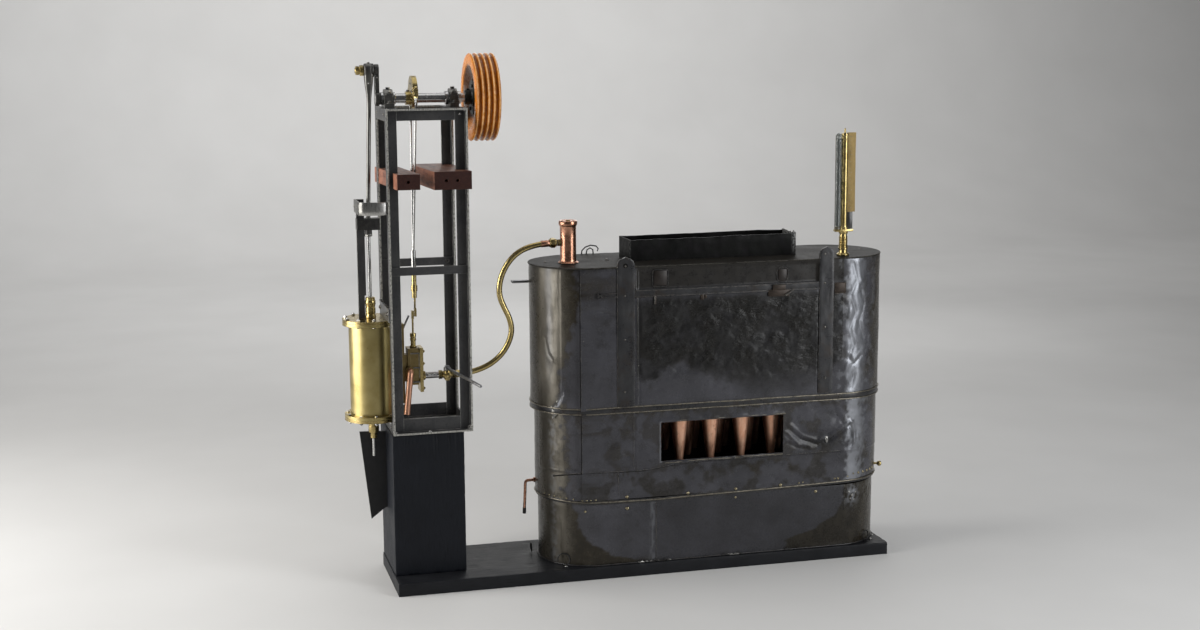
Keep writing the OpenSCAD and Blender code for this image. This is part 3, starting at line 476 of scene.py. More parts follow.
    # wire and studs
    metal("wire", (0.020, 0.020, 0.021), (0.038, 0.037, 0.036), (0.009, 0.008, 0.007), 0.3, 0.46, 4, (0.20, 0.19, 0.17), metallic=0.6)
    metal("stud", (0.085, 0.082, 0.077), (0.19, 0.18, 0.165), (0.035, 0.028, 0.022), 0.22, 0.40, 2.2, (0.42, 0.40, 0.36), bump_mm=0.08)
    metal("plate_brass", (0.104, 0.074, 0.031), (0.146, 0.106, 0.046), (0.064, 0.041, 0.017), 0.36, 0.48, 10, (0.50, 0.43, 0.26), bump_mm=0.02, dirt=0.4)

    m = Mat("floor")
    n = m.noise(260, 3, 0.5)
    f = m.noise(1.5, 2, 0.5)
    m.set(Base_Color=m.mix((0.60, 0.595, 0.585), (0.63, 0.625, 0.615), m.rng(n, 0.3, 0.7)), Roughness=0.85, Normal=m.bump(f, 0.05, 0.3))
    m.b.inputs["Specular IOR Level"].default_value = 0.2
    MATS["floor"] = m.m


make_materials()


# ------------------------------------------------------------------ mesh helpers
class Geo:
    """Vertices in millimetres from the board's corner, and faces."""

    def __init__(s):
        s.v, s.f, s.a = [], [], {}

    def add(s, verts, faces, **attrs):
        k = len(s.v)
        s.v += [tuple(p) for p in verts]
        s.f += [tuple(i + k for i in f) for f in faces]
        return s

    # solid of revolution: profile [(r, h)], from p along axis
    def lathe(s, profile, p, axis, n=32, phase=0.0):
        ax = Vector(axis).normalized()
        side = Vector((0, 0, 1)) if abs(ax.z) < 0.9 else Vector((1, 0, 0))
        u = ax.cross(side).normalized()
        w = ax.cross(u)
        p = Vector(p)
        rings, verts, faces = [], [], []
        for r, h in profile:
            if r < 1e-6:
                verts.append(p + ax * h)
                rings.append([len(verts) - 1])
            else:
                k = len(verts)
                for i in range(n):
                    t = 2 * math.pi * i / n + phase
                    verts.append(p + ax * h + (u * math.cos(t) + w * math.sin(t)) * r)
                rings.append(list(range(k, k + n)))
        for a, b in zip(rings, rings[1:]):
            for i in range(n):
                j = (i + 1) % n
                if len(a) == 1 and len(b) == 1:
                    continue
                if len(a) == 1:
                    faces.append((a[0], b[j], b[i]))
                elif len(b) == 1:
                    faces.append((a[i], a[j], b[0]))
                else:
                    faces.append((a[i], a[j], b[j], b[i]))
        if len(rings[0]) > 1 and profile[0] != profile[-1]:
            faces.append(tuple(reversed(rings[0])))
        if len(rings[-1]) > 1 and profile[0] != profile[-1]:
            faces.append(tuple(rings[-1]))
        return s.add(verts, faces)

    def bar(s, a, b, r, n=20, cham=0.25, r2=None):
        """Round bar between two points with chamfered ends."""
        a, b = Vector(a), Vector(b)
        l = (b - a).length
        r2 = r if r2 is None else r2
        c = min(cham, r * 0.4, l * 0.3)
        return s.lathe([(0, 0), (r - c, 0), (r, c), (r2, l - c), (r2 - c, l), (0, l)], a, b - a, n)

    def dome(s, p, axis, r, h, n=14):
        return s.lathe([(r, -0.2), (r, h * 0.18), (r * 0.93, h * 0.45), (r * 0.72, h * 0.78), (r * 0.4, h * 0.96), (0, h)], p, axis, n)

    def hexa(s, p, axis, r, h, phase=0.0, hole=0.0):
        """Hexagon nut or head with turned corners; r across the corners."""
        c = r * 0.09
        prof = [(0, 0), (r * 0.94, 0), (r, c), (r, h - c), (r * 0.9, h)]
        if hole:
            prof += [(hole, h), (hole * 0.96, h - 0.6), (0, h - 0.6)]
        else:
            prof += [(0, h)]
        return s.lathe(prof, p, axis, 6, phase)

    def tube(s, pts, r, n=16, caps=True, flat=None):
        """Swept round section along points, with parallel frames. r is a number or a list."""
        P = [Vector(q) for q in pts]
        m = len(P)
        R = r if isinstance(r, (list, tuple)) else [r] * m
        tan = [(P[min(i + 1, m - 1)] - P[max(i - 1, 0)]).normalized() for i in range(m)]
        side = Vector((0, 0, 1)) if abs(tan[0].z) < 0.9 else Vector((1, 0, 0))
        u = (side - tan[0] * side.dot(tan[0])).normalized()
        verts, faces = [], []
        for i in range(m):
            u = (u - tan[i] * u.dot(tan[i])).normalized()
            w = tan[i].cross(u)
            for k in range(n):
                t = 2 * math.pi * k / n
                verts.append(P[i] + (u * math.cos(t) + w * math.sin(t)) * R[i])
        for i in range(m - 1):
            for k in range(n):
                j = (k + 1) % n
                faces.append((i * n + k, i * n + j, (i + 1) * n + j, (i + 1) * n + k))
        if caps:
            faces.append(tuple(reversed(range(n))))
            faces.append(tuple(range((m - 1) * n, m * n)))
        return s.add(verts, faces)

    def box(s, x0, x1, y0, y1, z0, z1, bev=0.3, seg=2, rot=None, warp=0.0, seed=0):
        """Block with rounded edges. rot is a matrix about its middle."""
        bm = bmesh.new()
        bmesh.ops.create_cube(bm, size=1)
        c = Vector(((x0 + x1) / 2, (y0 + y1) / 2, (z0 + z1) / 2))
        for v in bm.verts:
            v.co = Vector((v.co.x * (x1 - x0), v.co.y * (y1 - y0), v.co.z * (z1 - z0)))
        if bev:
            bmesh.ops.bevel(bm, geom=list(bm.edges), offset=bev, segments=seg, profile=0.5, affect="EDGES")
        if warp:
            rnd = random.Random(seed)
            for v in bm.verts:
                v.co += Vector((rnd.uniform(-1, 1), rnd.uniform(-1, 1), rnd.uniform(-1, 1))) * warp
        if rot is not None:
            bmesh.ops.transform(bm, matrix=rot.to_4x4(), verts=bm.verts)
        bm.verts.index_update()
        vs = [v.co + c for v in bm.verts]
        fs = [[v.index for v in f.verts] for f in bm.faces]
        bm.free()
        return s.add(vs, fs)

    def bead(s, pts, r, n=8):
        return s.tube(pts, r, n)

    def blob(s, p, r, squash=(1, 1, 1), seed=1, amp=0.35, n=14, freq=0.5):
        """Lump of solder or forged metal."""
        bm = bmesh.new()
        bmesh.ops.create_icosphere(bm, subdivisions=3, radius=1)
        for v in bm.verts:
            k = 1 + amp * noise.noise(Vector(v.co) * 1.7 + Vector((seed * 3.7, seed * 1.3, seed * 7.1)))
            v.co = Vector((v.co.x * squash[0] * r * k, v.co.y * squash[1] * r * k, v.co.z * squash[2] * r * k))
        bm.verts.index_update()
        vs = [v.co + Vector(p) for v in bm.verts]
        fs = [[v.index for v in f.verts] for f in bm.faces]
        bm.free()
        return s.add(vs, fs)


def piece(name, geo, mat, body="frame", angle=38, replaces=(), attrs=None, recalc=True):
    me = bpy.data.meshes.new(name)
    me.from_pydata([W(*p) for p in geo.v], [], geo.f)
    me.validate()
    if recalc:
        bm = bmesh.new()
        bm.from_mesh(me)
        bmesh.ops.recalc_face_normals(bm, faces=bm.faces)
        bm.to_mesh(me)
        bm.free()
    me.polygons.foreach_set("use_smooth", [True] * len(me.polygons))
    me.set_sharp_from_angle(angle=math.radians(angle))
    for k, vals in (attrs or {}).items():
        a = me.attributes.new(k, "FLOAT", "POINT")
        a.data.foreach_set("value", vals)
    ob = bpy.data.objects.new(name, me)
    bpy.context.scene.collection.objects.link(ob)
    me.materials.append(MATS[mat])
    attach(ob, body)
    if replaces:
        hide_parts(*replaces)
    return ob


def paint(node, mat):
    ob = NODE[node]
    if not ob.material_slots:
        ob.data.materials.append(MATS[mat])
    for sl in ob.material_slots:
        sl.material = MATS[mat]


for n, mt in {
    "front_left_post": "tower_iron", "front_right_post": "tower_iron", "back_left_post": "tower_iron", "back_right_post": "tower_iron",
    "front_rails": "tower_iron", "back_rails": "tower_iron", "side_rails": "tower_iron",
    "left_bearer": "mahogany", "right_bearer": "mahogany", "shaft_bearings": "forged_steel",
    "crankshaft": "bright_steel", "crank_arm": "crank_iron", "pulley": "varnished_wood", "pulley_hub": "hub_iron",
    "eccentric_sheave": "brass", "eccentric_strap": "brass", "eccentric_fork": "rod_steel", "fork_ferrule": "brass",
    "valve_rod": "brass", "valve_gland": "brass", "valve_chest": "old_brass", "chest_cover": "brass", "port_block": "old_brass",
    "valve_guide": "grey_steel", "inlet_pipe": "bright_steel", "steam_cock": "brass", "cock_lever": "grey_steel", "steam_pipe": "brass",
    "exhaust_pipe": "copper", "cylinder_barrel": "barrel_brass", "cylinder_covers": "brass", "piston_glands": "brass",
    "cylinder_bracket": "grey_steel", "black_gusset": "black_iron", "piston_rod": "rod_steel", "piston": "grey_steel",
    "crosshead": "dark_iron", "guide_bar": "tower_iron", "guide_strap": "strap_steel", "connecting_rod": "rod_dark", "crank_pin": "brass",
    "upper_front": "strap_iron", "upper_back": "strap_iron", "upper_left_end": "strap_iron", "upper_right_end": "strap_iron", "middle_front": "strap_iron", "middle_back": "strap_iron", "lower_casing": "strap_iron",
    "casing_bands": "strap_iron", "boiler_lid": "lid_iron", "flue_box": "flue_iron", "front_ironwork": "strap_iron",
    "tube_plate": "soot_and_shade", "water_cones": "cone_copper", "steam_dome": "copper", "water_gauge": "brass", "gauge_glass": "gauge_glass",
    "boiler_fittings": "copper", "base_board": "black_board", "engine_block": "black_block",
}.items():
    paint(n, mt)


# ------------------------------------------------------------------ wooden board and block
def panel(g, org, eu, ev, lu, lv, nu, nv, disp, n):
    """Grid face with a displacement along n."""
    org, eu, ev, n = Vector(org), Vector(eu), Vector(ev), Vector(n)
    verts, faces = [], []
    for j in range(nv + 1):
        for i in range(nu + 1):
            u, v = lu * i / nu, lv * j / nv
            p = org + eu * u + ev * v
            verts.append(p + n * disp(p, u, v))
    for j in range(nv):
        for i in range(nu):
            a = j * (nu + 1) + i
            faces.append((a, a + 1, a + nu + 2, a + nu + 1))
    g.add(verts, faces)


def wooden_block(name, x0, x1, y0, y1, z0, z1, step, grain, edge_nick, mat, body, replaces):
    """Closed block of six grids that meet on common edges, pushed in by the grain and by nicks along the edges."""
    nx, ny, nz = (max(2, int(round(d / s))) for d, s in zip((x1 - x0, y1 - y0, z1 - z0), step))
    idx, verts, faces = {}, [], []
    X = [x0 + (x1 - x0) * i / nx for i in range(nx + 1)]
    Y = [y0 + (y1 - y0) * i / ny for i in range(ny + 1)]
    Z = [z0 + (z1 - z0) * i / nz for i in range(nz + 1)]
    c = Vector(((x0 + x1) / 2, (y0 + y1) / 2, (z0 + z1) / 2))

    def vid(i, j, k):
        if (i, j, k) not in idx:
            p = Vector((X[i], Y[j], Z[k]))
            n = Vector(((-1 if i == 0 else 1 if i == nx else 0), (-1 if j == 0 else 1 if j == ny else 0), (-1 if k == 0 else 1 if k == nz else 0)))
            faces_n = abs(n.x) + abs(n.y) + abs(n.z)
            d = grain(p, n)
            # distance to the nearest edge of the block
            ds = sorted([min(p.x - x0, x1 - p.x), min(p.y - y0, y1 - p.y), min(p.z - z0, z1 - p.z)])
            d += edge_nick(p, ds[1])
            if faces_n > 1:
                d += 0.35
            idx[(i, j, k)] = len(verts)
            verts.append(p - n.normalized() * d)
        return idx[(i, j, k)]

    def quad(a, b, c_, d):
        faces.append((a, b, c_, d))

    for i in range(nx):
        for j in range(ny):
            quad(vid(i, j, nz), vid(i + 1, j, nz), vid(i + 1, j + 1, nz), vid(i, j + 1, nz))
            quad(vid(i, j, 0), vid(i, j + 1, 0), vid(i + 1, j + 1, 0), vid(i + 1, j, 0))
    for i in range(nx):
        for k in range(nz):
            quad(vid(i, 0, k), vid(i + 1, 0, k), vid(i + 1, 0, k + 1), vid(i, 0, k + 1))
            quad(vid(i, ny, k), vid(i, ny, k + 1), vid(i + 1, ny, k + 1), vid(i + 1, ny, k))
    for j in range(ny):
        for k in range(nz):
            quad(vid(0, j, k), vid(0, j, k + 1), vid(0, j + 1, k + 1), vid(0, j + 1, k))
            quad(vid(nx, j, k), vid(nx, j + 1, k), vid(nx, j + 1, k + 1), vid(nx, j, k + 1))
    g = Geo().add(verts, faces)
    return piece(name, g, mat, body, angle=50, replaces=replaces)


def block_grain(p, n):
    d = 0.0
    if abs(n.z) < 0.5:
        u = p.x + p.y
        g = noise.noise(Vector((u / 1.9, p.z / 60, 3.3)))
        g2 = noise.noise(Vector((u / 4.4, p.z / 110, 9.1)))
        d += 0.22 * max(0.0, g) + 0.30 * max(0.0, g2)
        # checks that open from the top edge
        top = sstep(40, 0, 216 - p.z)
        c = noise.noise(Vector((u / 2.6, 0.2, 5.7)))
        d += 1.1 * top * sstep(0.22, 0.5, c)
        crack = noise.noise(Vector((u / 7.0, p.z / 300, 1.7)))
        d += 0.5 * sstep(0.045, 0.0, abs(crack - 0.11)) * sstep(0.1, 0.3, noise.noise(Vector((u / 30, p.z / 45, 8.0))) + 0.2)
    else:
        d += 0.1 * max(0, noise.noise(Vector((p.x / 2, p.y / 2, 1))))
    return d


def nick(p, d):
    e = sstep(3.0, 0.0, d)
    a = noise.noise(Vector((p.x / 7, p.y / 7, p.z / 7)))
    b = noise.noise(Vector((p.x / 2.6, p.y / 2.6, p.z / 2.6 + 9)))
    return e * (0.25 + 0.9 * max(0.0, a) + 0.5 * max(0.0, b))


lo, hi = nbox("engine_block")
wooden_block("engine_block_wood", lo[0], hi[0], lo[1], hi[1], lo[2], hi[2], (0.9, 1.6, 3.2), block_grain, nick, "black_block", "frame", ["engine_block"])


def board_grain(p, n):
    g = noise.noise(Vector((p.x / 90, p.y / 3.1, p.z / 2.4)))
    g2 = noise.noise(Vector((p.x / 240, p.y / 9, p.z / 7 + 4)))
    d = 0.14 * max(0, g) + 0.18 * max(0, g2)
    if n.z < -0.5:
        d *= 0.0
    dent = noise.noise(Vector((p.x / 19, p.y / 15, p.z / 12 + 2)))
    return d + 0.5 * sstep(0.42, 0.62, dent)


def board_nick(p, d):
    if p.z < 1:
        return 0.0
    return nick(p, d) * 0.8


lo, hi = nbox("base_board")
wooden_block("base_board_wood", lo[0], hi[0], lo[1], hi[1], lo[2], hi[2], (3.0, 2.2, 2.0), board_grain, board_nick, "black_board", "frame", ["base_board"])


# ------------------------------------------------------------------ boiler casing
BYC = 78.0
UP = (204.3, 721.0, 74.8)
MID = (209.5, 718.5, 74.2)
LOW = (213.5, 714.5, 73.6)


def stations(t, fine, end_fine, coarse, extra=()):
    """Arc positions round a tier. Position s runs along X on the front, then round the right end, the back and the left end."""
    x0, x1, r = t
    cl, cr = x0 + r, x1 - r
    q = math.pi * r / 2
    out = []

    def span(a, b, step, keep=()):
        n = max(1, int(math.ceil((b - a) / step)))
        pts = [a + (b - a) * i / n for i in range(n)]
        for k in keep:
            j = min(range(len(pts)), key=lambda i: abs(pts[i] - k))
            pts[j] = k
        out.extend(pts)

    span(cl, cr, fine, extra)
    span(cr, cr + q, end_fine)
    span(cr + q, cr + 2 * q, coarse * 0.8)
    span(cr + 2 * q, cr + 2 * q + (cr - cl), coarse)
    b = cr + 2 * q + (cr - cl)
    span(b, b + q, coarse * 0.8)
    span(b + q, b + 2 * q, end_fine)
    return out


def at(t, s):
    """x, y, normal x, normal y and signed position at arc position s. The signed position is negative-going on the left end."""
    x0, x1, r = t
    cl, cr = x0 + r, x1 - r
    q = math.pi * r
    L = cr - cl
    if s <= cr:
        return s, BYC - r, 0.0, -1.0, s
    if s <= cr + q:
        a = -math.pi / 2 + (s - cr) / r
        return cr + r * math.cos(a), BYC + r * math.sin(a), math.cos(a), math.sin(a), s
    if s <= cr + q + L:
        return cr - (s - cr - q), BYC + r, 0.0, 1.0, s
    a = math.pi / 2 + (s - cr - q - L) / r
    per = 2 * L + 2 * q
    return cl + r * math.cos(a), BYC + r * math.sin(a), math.cos(a), math.sin(a), s - per


def seg_dist(px, py, ax, ay, bx, by):
    dx, dy = bx - ax, by - ay
    t = max(0.0, min(1.0, ((px - ax) * dx + (py - ay) * dy) / (dx * dx + dy * dy)))
    ex, ey = px - ax - t * dx, py - ay - t * dy
    side = dx * (py - ay) - dy * (px - ax)
    return math.hypot(ex, ey), (1 if side > 0 else -1), t


def crease(u, z, poly, width, depth, skew=0.5):
    """Fold line: a sharp dip along a polyline with a softer shoulder on its left side."""
    best = (1e9, 1, 0)
    for (ax, ay), (bx, by) in zip(poly, poly[1:]):
        c = seg_dist(u, z, ax, ay, bx, by)
        if c[0] < best[0]:
            best = c
    d, side, _ = best
    if d > 5 * width:
        return 0.0
    k = math.exp(-abs(d) / width)
    sh = math.exp(-((d - 1.6 * width) / (1.3 * width)) ** 2) * (1 if side > 0 else 0)
    return -depth * k + skew * depth * sh


def dent(u, z, cu, cz, wu, wz, depth, tilt=0.0):
    du, dz = u - cu, z - cz
    a, b = du * math.cos(tilt) + dz * math.sin(tilt), -du * math.sin(tilt) + dz * math.cos(tilt)
    return -depth * math.exp(-(a / wu) ** 2 - (b / wz) ** 2)


def band_z(u):
    """Height of the lower joint along the front."""
    pts = [(150, 113.5), (215, 112.5), (250, 111.0), (300, 109.6), (370, 108.6), (430, 110.0), (520, 111.2), (580, 112.4), (656, 114.6), (760, 115.0)]
    if u <= pts[0][0]:
        return pts[0][1]
    for (a, p), (b, q) in zip(pts, pts[1:]):
        if u <= b:
            return p + (q - p) * (u - a) / (b - a)
    return pts[-1][1]


def upper_disp(u, z, x, y, ny):
    d = 0.0
    front = 1.0 if ny < -0.98 else 0.0
    # long soft waves everywhere
    d += 0.55 * frac(x / 70, y / 70, z / 55, 3)
    if 256.6 < u < 646:
        main = sstep(338, 352, u) * sstep(640, 626, u)
        d += main * 0.75 * frac(u / 30, z / 22, 4.2, 4) * sstep(245, 275, z) * sstep(398, 385, z)
        d += main * 0.27 * frac(u / 10.0, z / 5.2, 1.2, 3) * sstep(262, 290, z) * sstep(396, 380, z)
        d += (1 - main) * 0.30 * frac(u / 22, z / 24, 7.7, 3)
        # the sheet is set back above the bar, under the lid
        d -= 2.2 * sstep(336, 340, u) * sstep(604, 600, u) * sstep(404.5, 407, z)
        # a shallow step along the door's left and right edge
        d += 0.5 * sstep(341.0, 342.0, u) * sstep(603, 602, u) * sstep(406, 404, z)
        d += dent(u, z, 292, 376, 15, 3.0, 0.8, -0.35) + dent(u, z, 300, 352, 17, 11, 0.7)
        d += dent(u, z, 400, 355, 20, 12, 0.9, 0.3) + dent(u, z, 452, 318, 26, 14, 1.0, -0.5) + dent(u, z, 540, 345, 30, 18, 1.2, 0.4)
        d += dent(u, z, 588, 312, 16, 24, 1.1) + dent(u, z, 480, 372, 22, 9, 0.8) + dent(u, z, 400, 300, 24, 12, 0.8, 0.5)
    if u >= 625:
        # crumpled right end
        k = sstep(628, 650, u) * sstep(745, 690, u)
        r = noise.ridged_multi_fractal(Vector((u / 17, z / 27, 2.4)), 1.0, 2.1, 3, 1.0, 2.0)
        d += k * (0.42 * frac(u / 21, z / 60, 3.3, 2) - 0.10 * r)
        for poly, w, dep in (
            ([(655, 430), (662, 405), (652, 384), (661, 360), (652, 335), (658, 312), (650, 292)], 3.2, 1.3),
            ([(668, 396), (676, 372), (668, 345), (676, 320)], 3.0, 1.2),
            ([(650, 296), (658, 284), (672, 296)], 2.2, 1.7),
            ([(660, 268), (655, 250)], 3.0, 0.9),
            ([(690, 410), (700, 384), (692, 360)], 4.0, 1.3),
            ([(640, 376), (648, 366), (645, 352)], 2.4, 0.9),
        ):
            d += crease(u, z, poly, w * 1.15, dep * 0.78)
        d += dent(u, z, 665, 340, 6, 26, 0.9) + dent(u, z, 656, 268, 7, 14, 1.0)
    if u < 279:
        k = sstep(262, 240, u) * sstep(150, 185, u)
        d += k * (0.24 * frac(u / 18, z / 40, 8.8, 2) + 0.05 * frac(u / 7, z / 13, 3.8, 2))
        s2 = bump1(u, 212, 12)
        d += s2 * 0.10 * frac(u / 4.5, z / 9.0, 5.1, 3)
        d += crease(u, z, [(203, 340), (209, 318), (216, 310)], 2.2, 0.8) + crease(u, z, [(231, 262), (226, 252), (217, 243), (214, 236)], 2.0, 1.5)
        d += dent(u, z, 210, 300, 7, 9, 0.7) + dent(u, z, 214, 372, 5, 16, 0.5)
    # seams: a raised bead and the lap beside it
    if ny < -0.3:
        d += 0.9 * bump1(u, 256.6, 1.0) + 0.35 * sstep(256.6, 255.6, u) * (1 if u > 230 else 0)
        d += 0.7 * bump1(u, 337.3, 0.8) * sstep(408, 404, z)
    if ny > 0.5:
        d += 0.8 * bump1(x, 460, 1.4)
    # keeps the edges where the lid and the joint need them
    e = sstep(240, 246, z) * sstep(436, 431, z)
    return d * e


def upper_attr(u, z, x, y, ny):
    n1 = frac(u / 30, z / 30, 1.1, 4)
    n2 = frac(u / 9, z / 12, 6.1, 4)
    lim = 228 + 26 * sstep(262, 400, z)
    brown = sstep(lim + 6, lim - 6, u + 14 * n2)
    if ny > 0.2:
        brown = 0.55 + 0.5 * n1
    if u > 335 and u < 640:
        # olive brown over the door, clearing to blue-grey towards its lower edge and left
        cloud = sstep(262 + 26 * math.sin(u / 48.0) + 16 * n1, 300 + 20 * n1, z) * sstep(398, 384, z)
        brown = max(brown, cloud * (0.25 + 0.50 * sstep(-0.2, 0.35, n1)))
        brown = max(brown, 0.75 * sstep(403, 409, z))
        pit = cloud * sstep(342, 362, u + 10 * n1) * (0.55 + 0.7 * sstep(-0.25, 0.25, n1))
    elif u >= 640:
        brown = max(brown, sstep(678, 704, u + 26 * n1) * 0.85, 0.35 * sstep(0.0, 0.3, n1))
        pit = 0.12
    else:
        pit = 0.55 * bump1(u, 298, 30) * bump1(z, 345, 28) * sstep(-0.3, 0.2, n1) + 0.08
        if u > 256:
            brown = max(brown, 0.5 * sstep(330, 420, z) * sstep(-0.2, 0.3, n1))
    silver = 0.0
    if u > 630:
        silver = 1.0 * sstep(642, 654, u + 6 * n2) * sstep(684, 663, u + 8 * n2)
        silver = max(silver, 0.35 * sstep(628, 640, u) * sstep(720, 676, u) * sstep(0.15, 0.4, n2))
    if u < 240:
        silver = max(0.30 * bump1(u, 210, 6 + 2 * n1) * sstep(250, 330, z), 0.9 * bump1(u, 217 + (z - 236) * 0.55, 3.5) * sstep(270, 250, z))
    # painted shadow: a darker band just under the lid's overhang
    soot_and_shade = 0.8 * sstep(430, 436, z) * 0.5
    if 335 < u < 640:
        soot_and_shade = max(soot_and_shade, 0.95 * cloud * (0.86 + 0.30 * n2), 0.60 * sstep(400, 408, z))
    return brown, pit, silver, soot_and_shade


def mid_disp(u, z, x, y, ny):
    d = 0.4 * frac(x / 60, y / 60, z / 40, 3)
    if 284 < u < 645:
        d += 0.5 * frac(u / 20, z / 16, 3.1, 3)
    # the seam along it, with the part above lapped over the part below
    zs = 152.5 + 5.5 * sstep(335, 430, u) - 2.0 * sstep(256, 336, u) * sstep(400, 340, u)
    if ny < -0.2:
        d += 0.55 * sstep(zs - 0.6, zs + 0.6, z) + 0.35 * bump1(z, zs, 1.1)
        if z > zs:
            d += 0.7 * bump1(u, 257.5, 0.9) + 0.45 * bump1(u, 331.5, 0.7) + 0.45 * bump1(u, 336.0, 0.7)
        else:
            d += 0.5 * bump1(u, 309.5, 0.7)
    # bent lip under and over the window
    if 360 < u < 570:
        d += 1.6 * bump1(z, 160.5, 2.6) * sstep(366, 374, u) * sstep(560, 500, u) * (0.6 + 0.8 * abs(frac(u / 22, 0.3, 0.1, 2)))
        d += 0.9 * bump1(z, 219.5, 2.0) * sstep(366, 374, u) * sstep(556, 550, u)
    if 366 < u < 373 and 160 < z < 220:
        d += 0.8 * sstep(366, 371, u)
    if u > 540:
        for poly, w, dep in (
            ([(562, 196), (578, 181), (604, 171), (622, 176), (640, 186), (654, 196)], 2.6, 2.2),
            ([(560, 176), (574, 168), (590, 165)], 2.4, 1.2),
            ([(654, 198), (659, 186), (658, 166)], 1.8, 1.8),
            ([(628, 228), (634, 214), (646, 196)], 3.0, 1.0),
            ([(556, 188), (572, 172)], 2.0, 1.0),
        ):
            d += crease(u, z, poly, w, dep, 0.7)
        d += dent(u, z, 604, 183, 26, 8, 1.5) + dent(u, z, 632, 208, 12, 12, 1.0) + dent(u, z, 662, 186, 8, 12, 1.0)
        k = sstep(640, 652, u) * sstep(740, 690, u)
        d += k * 0.28 * frac(u / 19, z / 36, 5.5, 2)
    if u < 284:
        k = sstep(284, 250, u) * sstep(150, 185, u)
        d += k * 0.24 * frac(u / 17, z / 24, 2.7, 3)
    d += dent(u, z, 305, 196, 13, 9, 0.8, 0.4) + dent(u, z, 322, 176, 12, 3, 0.7, -0.9) + dent(u, z, 300, 133, 20, 9, 0.5)
    d += dent(u, z, 470, 140, 34, 8, 0.8) + dent(u, z, 540, 132, 20, 10, 0.7, 0.3) + dent(u, z, 400, 128, 22, 8, 0.6)
    e = sstep(112, 115, z) * sstep(236, 233, z)
    return d * e


def mid_attr(u, z, x, y, ny):
    n1 = frac(u / 26, z / 26, 4.4, 4)
    n2 = frac(u / 8, z / 9, 9.4, 4)
    brown = sstep(246, 226, u + 16 * n2)
    if ny > 0.2:
        brown = 0.55 + 0.5 * n1
    if ny < -0.5 and u > 250:
        brown = max(brown, 0.55 * sstep(0.0, 0.35, n1))
        # green-brown drips under the seam
        brown = max(brown, 0.9 * sstep(0.05, 0.3, frac(u / 5, z / 30, 2.2, 3)) * bump1(z, 148, 7) * bump1(u, 330, 38))
        brown = max(brown, 0.85 * sstep(160, 150, z) * sstep(120, 140, z) * sstep(450, 500, u) * sstep(600, 560, u) * sstep(-0.2, 0.2, n1))
        brown = max(brown, 0.7 * sstep(222, 232, z) * sstep(-0.2, 0.2, n2))
    if u > 660:
        brown = max(brown, sstep(684, 706, u + 26 * n1) * 0.8)
    pit = 0.5 * sstep(0.1, 0.4, n1) * sstep(155, 145, z) + 0.1
    silver = 0.0
    if u > 636:
        silver = 0.9 * sstep(646, 654, u + 8 * n2) * sstep(686, 668, u + 12 * n2)
    if 540 < u < 660:
        silver = max(silver, 0.5 * bump1(u, 618, 3) * bump1(z, 178, 6))
    if u < 240:
        silver = 0.4 * bump1(u, 213, 6 + 3 * n2) * sstep(-0.2, 0.2, n2)
    if 369.3 < u < 371.5 and 160 < z < 220:
        silver = 0.75
    brown = max(brown, 0.95 * bump1(u, 604, 27) * bump1(z, 170, 9) * sstep(-0.35, 0.0, n2))
    # painted shade along the fire window's lower edge and bent lip
    soot_and_shade = 0.75 * bump1(z, 163, 3) * sstep(371, 376, u) * sstep(554, 549, u) * 0.5
    soot_and_shade = max(soot_and_shade, 0.75 * bump1(u, 606, 32) * bump1(z, 174, 12), 0.6 * bump1(u, 470, 70) * bump1(z, 152, 6) * sstep(-0.3, 0.1, n1))
    return brown, pit, silver, soot_and_shade


def low_disp(u, z, x, y, ny):
    d = 0.35 * frac(x / 90, y / 90, z / 50, 3)
    d += 0.18 * frac(u / 24, z / 20, 8.1, 3)
    if ny < -0.3:
        d += 0.5 * sstep(363.2, 364.2, u) + 0.35 * bump1(u, 360, 3.0) * (0.6 + frac(u / 4, z / 9, 1.0, 3))
    k = sstep(636, 650, u) * sstep(740, 690, u)
    d += k * 0.28 * frac(u / 15, z / 22, 5.9, 3)
    d += k * 1.1 * frac(u / 4.2, z / 5.0, 2.9, 3) * bump1(z, 92, 12)
    k = sstep(284, 240, u) * sstep(140, 190, u)
    d += k * 0.18 * frac(u / 18, z / 28, 3.7, 3)
    # the foot is bumped where it was nailed down
    d += 0.8 * bump1(z, 19, 3.5) * frac(u / 16, 0.5, 2.2, 3)
    return d * sstep(108, 105, z)


def low_attr(u, z, x, y, ny):
    n1 = frac(u / 22, z / 22, 7.4, 4)
    n2 = frac(u / 6, z / 7, 3.4, 4)
    # olive stain in the lower corners, bounded by a curve
    lim = 244 + 4 * n2 + 8 * sstep(104, 92, z) + 12 * sstep(80, 56, z) + 32 * sstep(58, 34, z) + 40 * sstep(34, 22, z)
    brown = sstep(lim + 2.2, lim - 2.2, u)
    r = 648 - 10 * sstep(90, 70, z) - 30 * sstep(70, 48, z) - 50 * sstep(50, 32, z) + 4 * n2
    brown = max(brown, sstep(r - 2.5, r + 2.5, u)) if ny < 0.2 else 0.55 + 0.5 * n1
    brown = max(brown, 0.8 * sstep(30 + 6 * n1, 22, z) * bump1(u, 322, 40))
    pit = 0.35 * brown * sstep(-0.1, 0.3, n1)
    silver = 0.42 * bump1(u, 359.5, 3.6) * sstep(-0.25, 0.15, frac(u / 3, z / 14, 5.0, 3))
    if u > 640:
        silver = max(silver, 0.95 * bump1(u, 660, 11) * bump1(z, 93, 13) * sstep(-0.3, 0.1, n2))
    if u < 240:
        silver = max(silver, 0.4 * bump1(u, 214, 6) * sstep(-0.2, 0.2, n2))
    soot_and_shade = max(0.6 * sstep(22.5, 18.5, z), 0.42 * sstep(300, 400, u) * sstep(700, 640, u))
    return brown, pit, silver, soot_and_shade


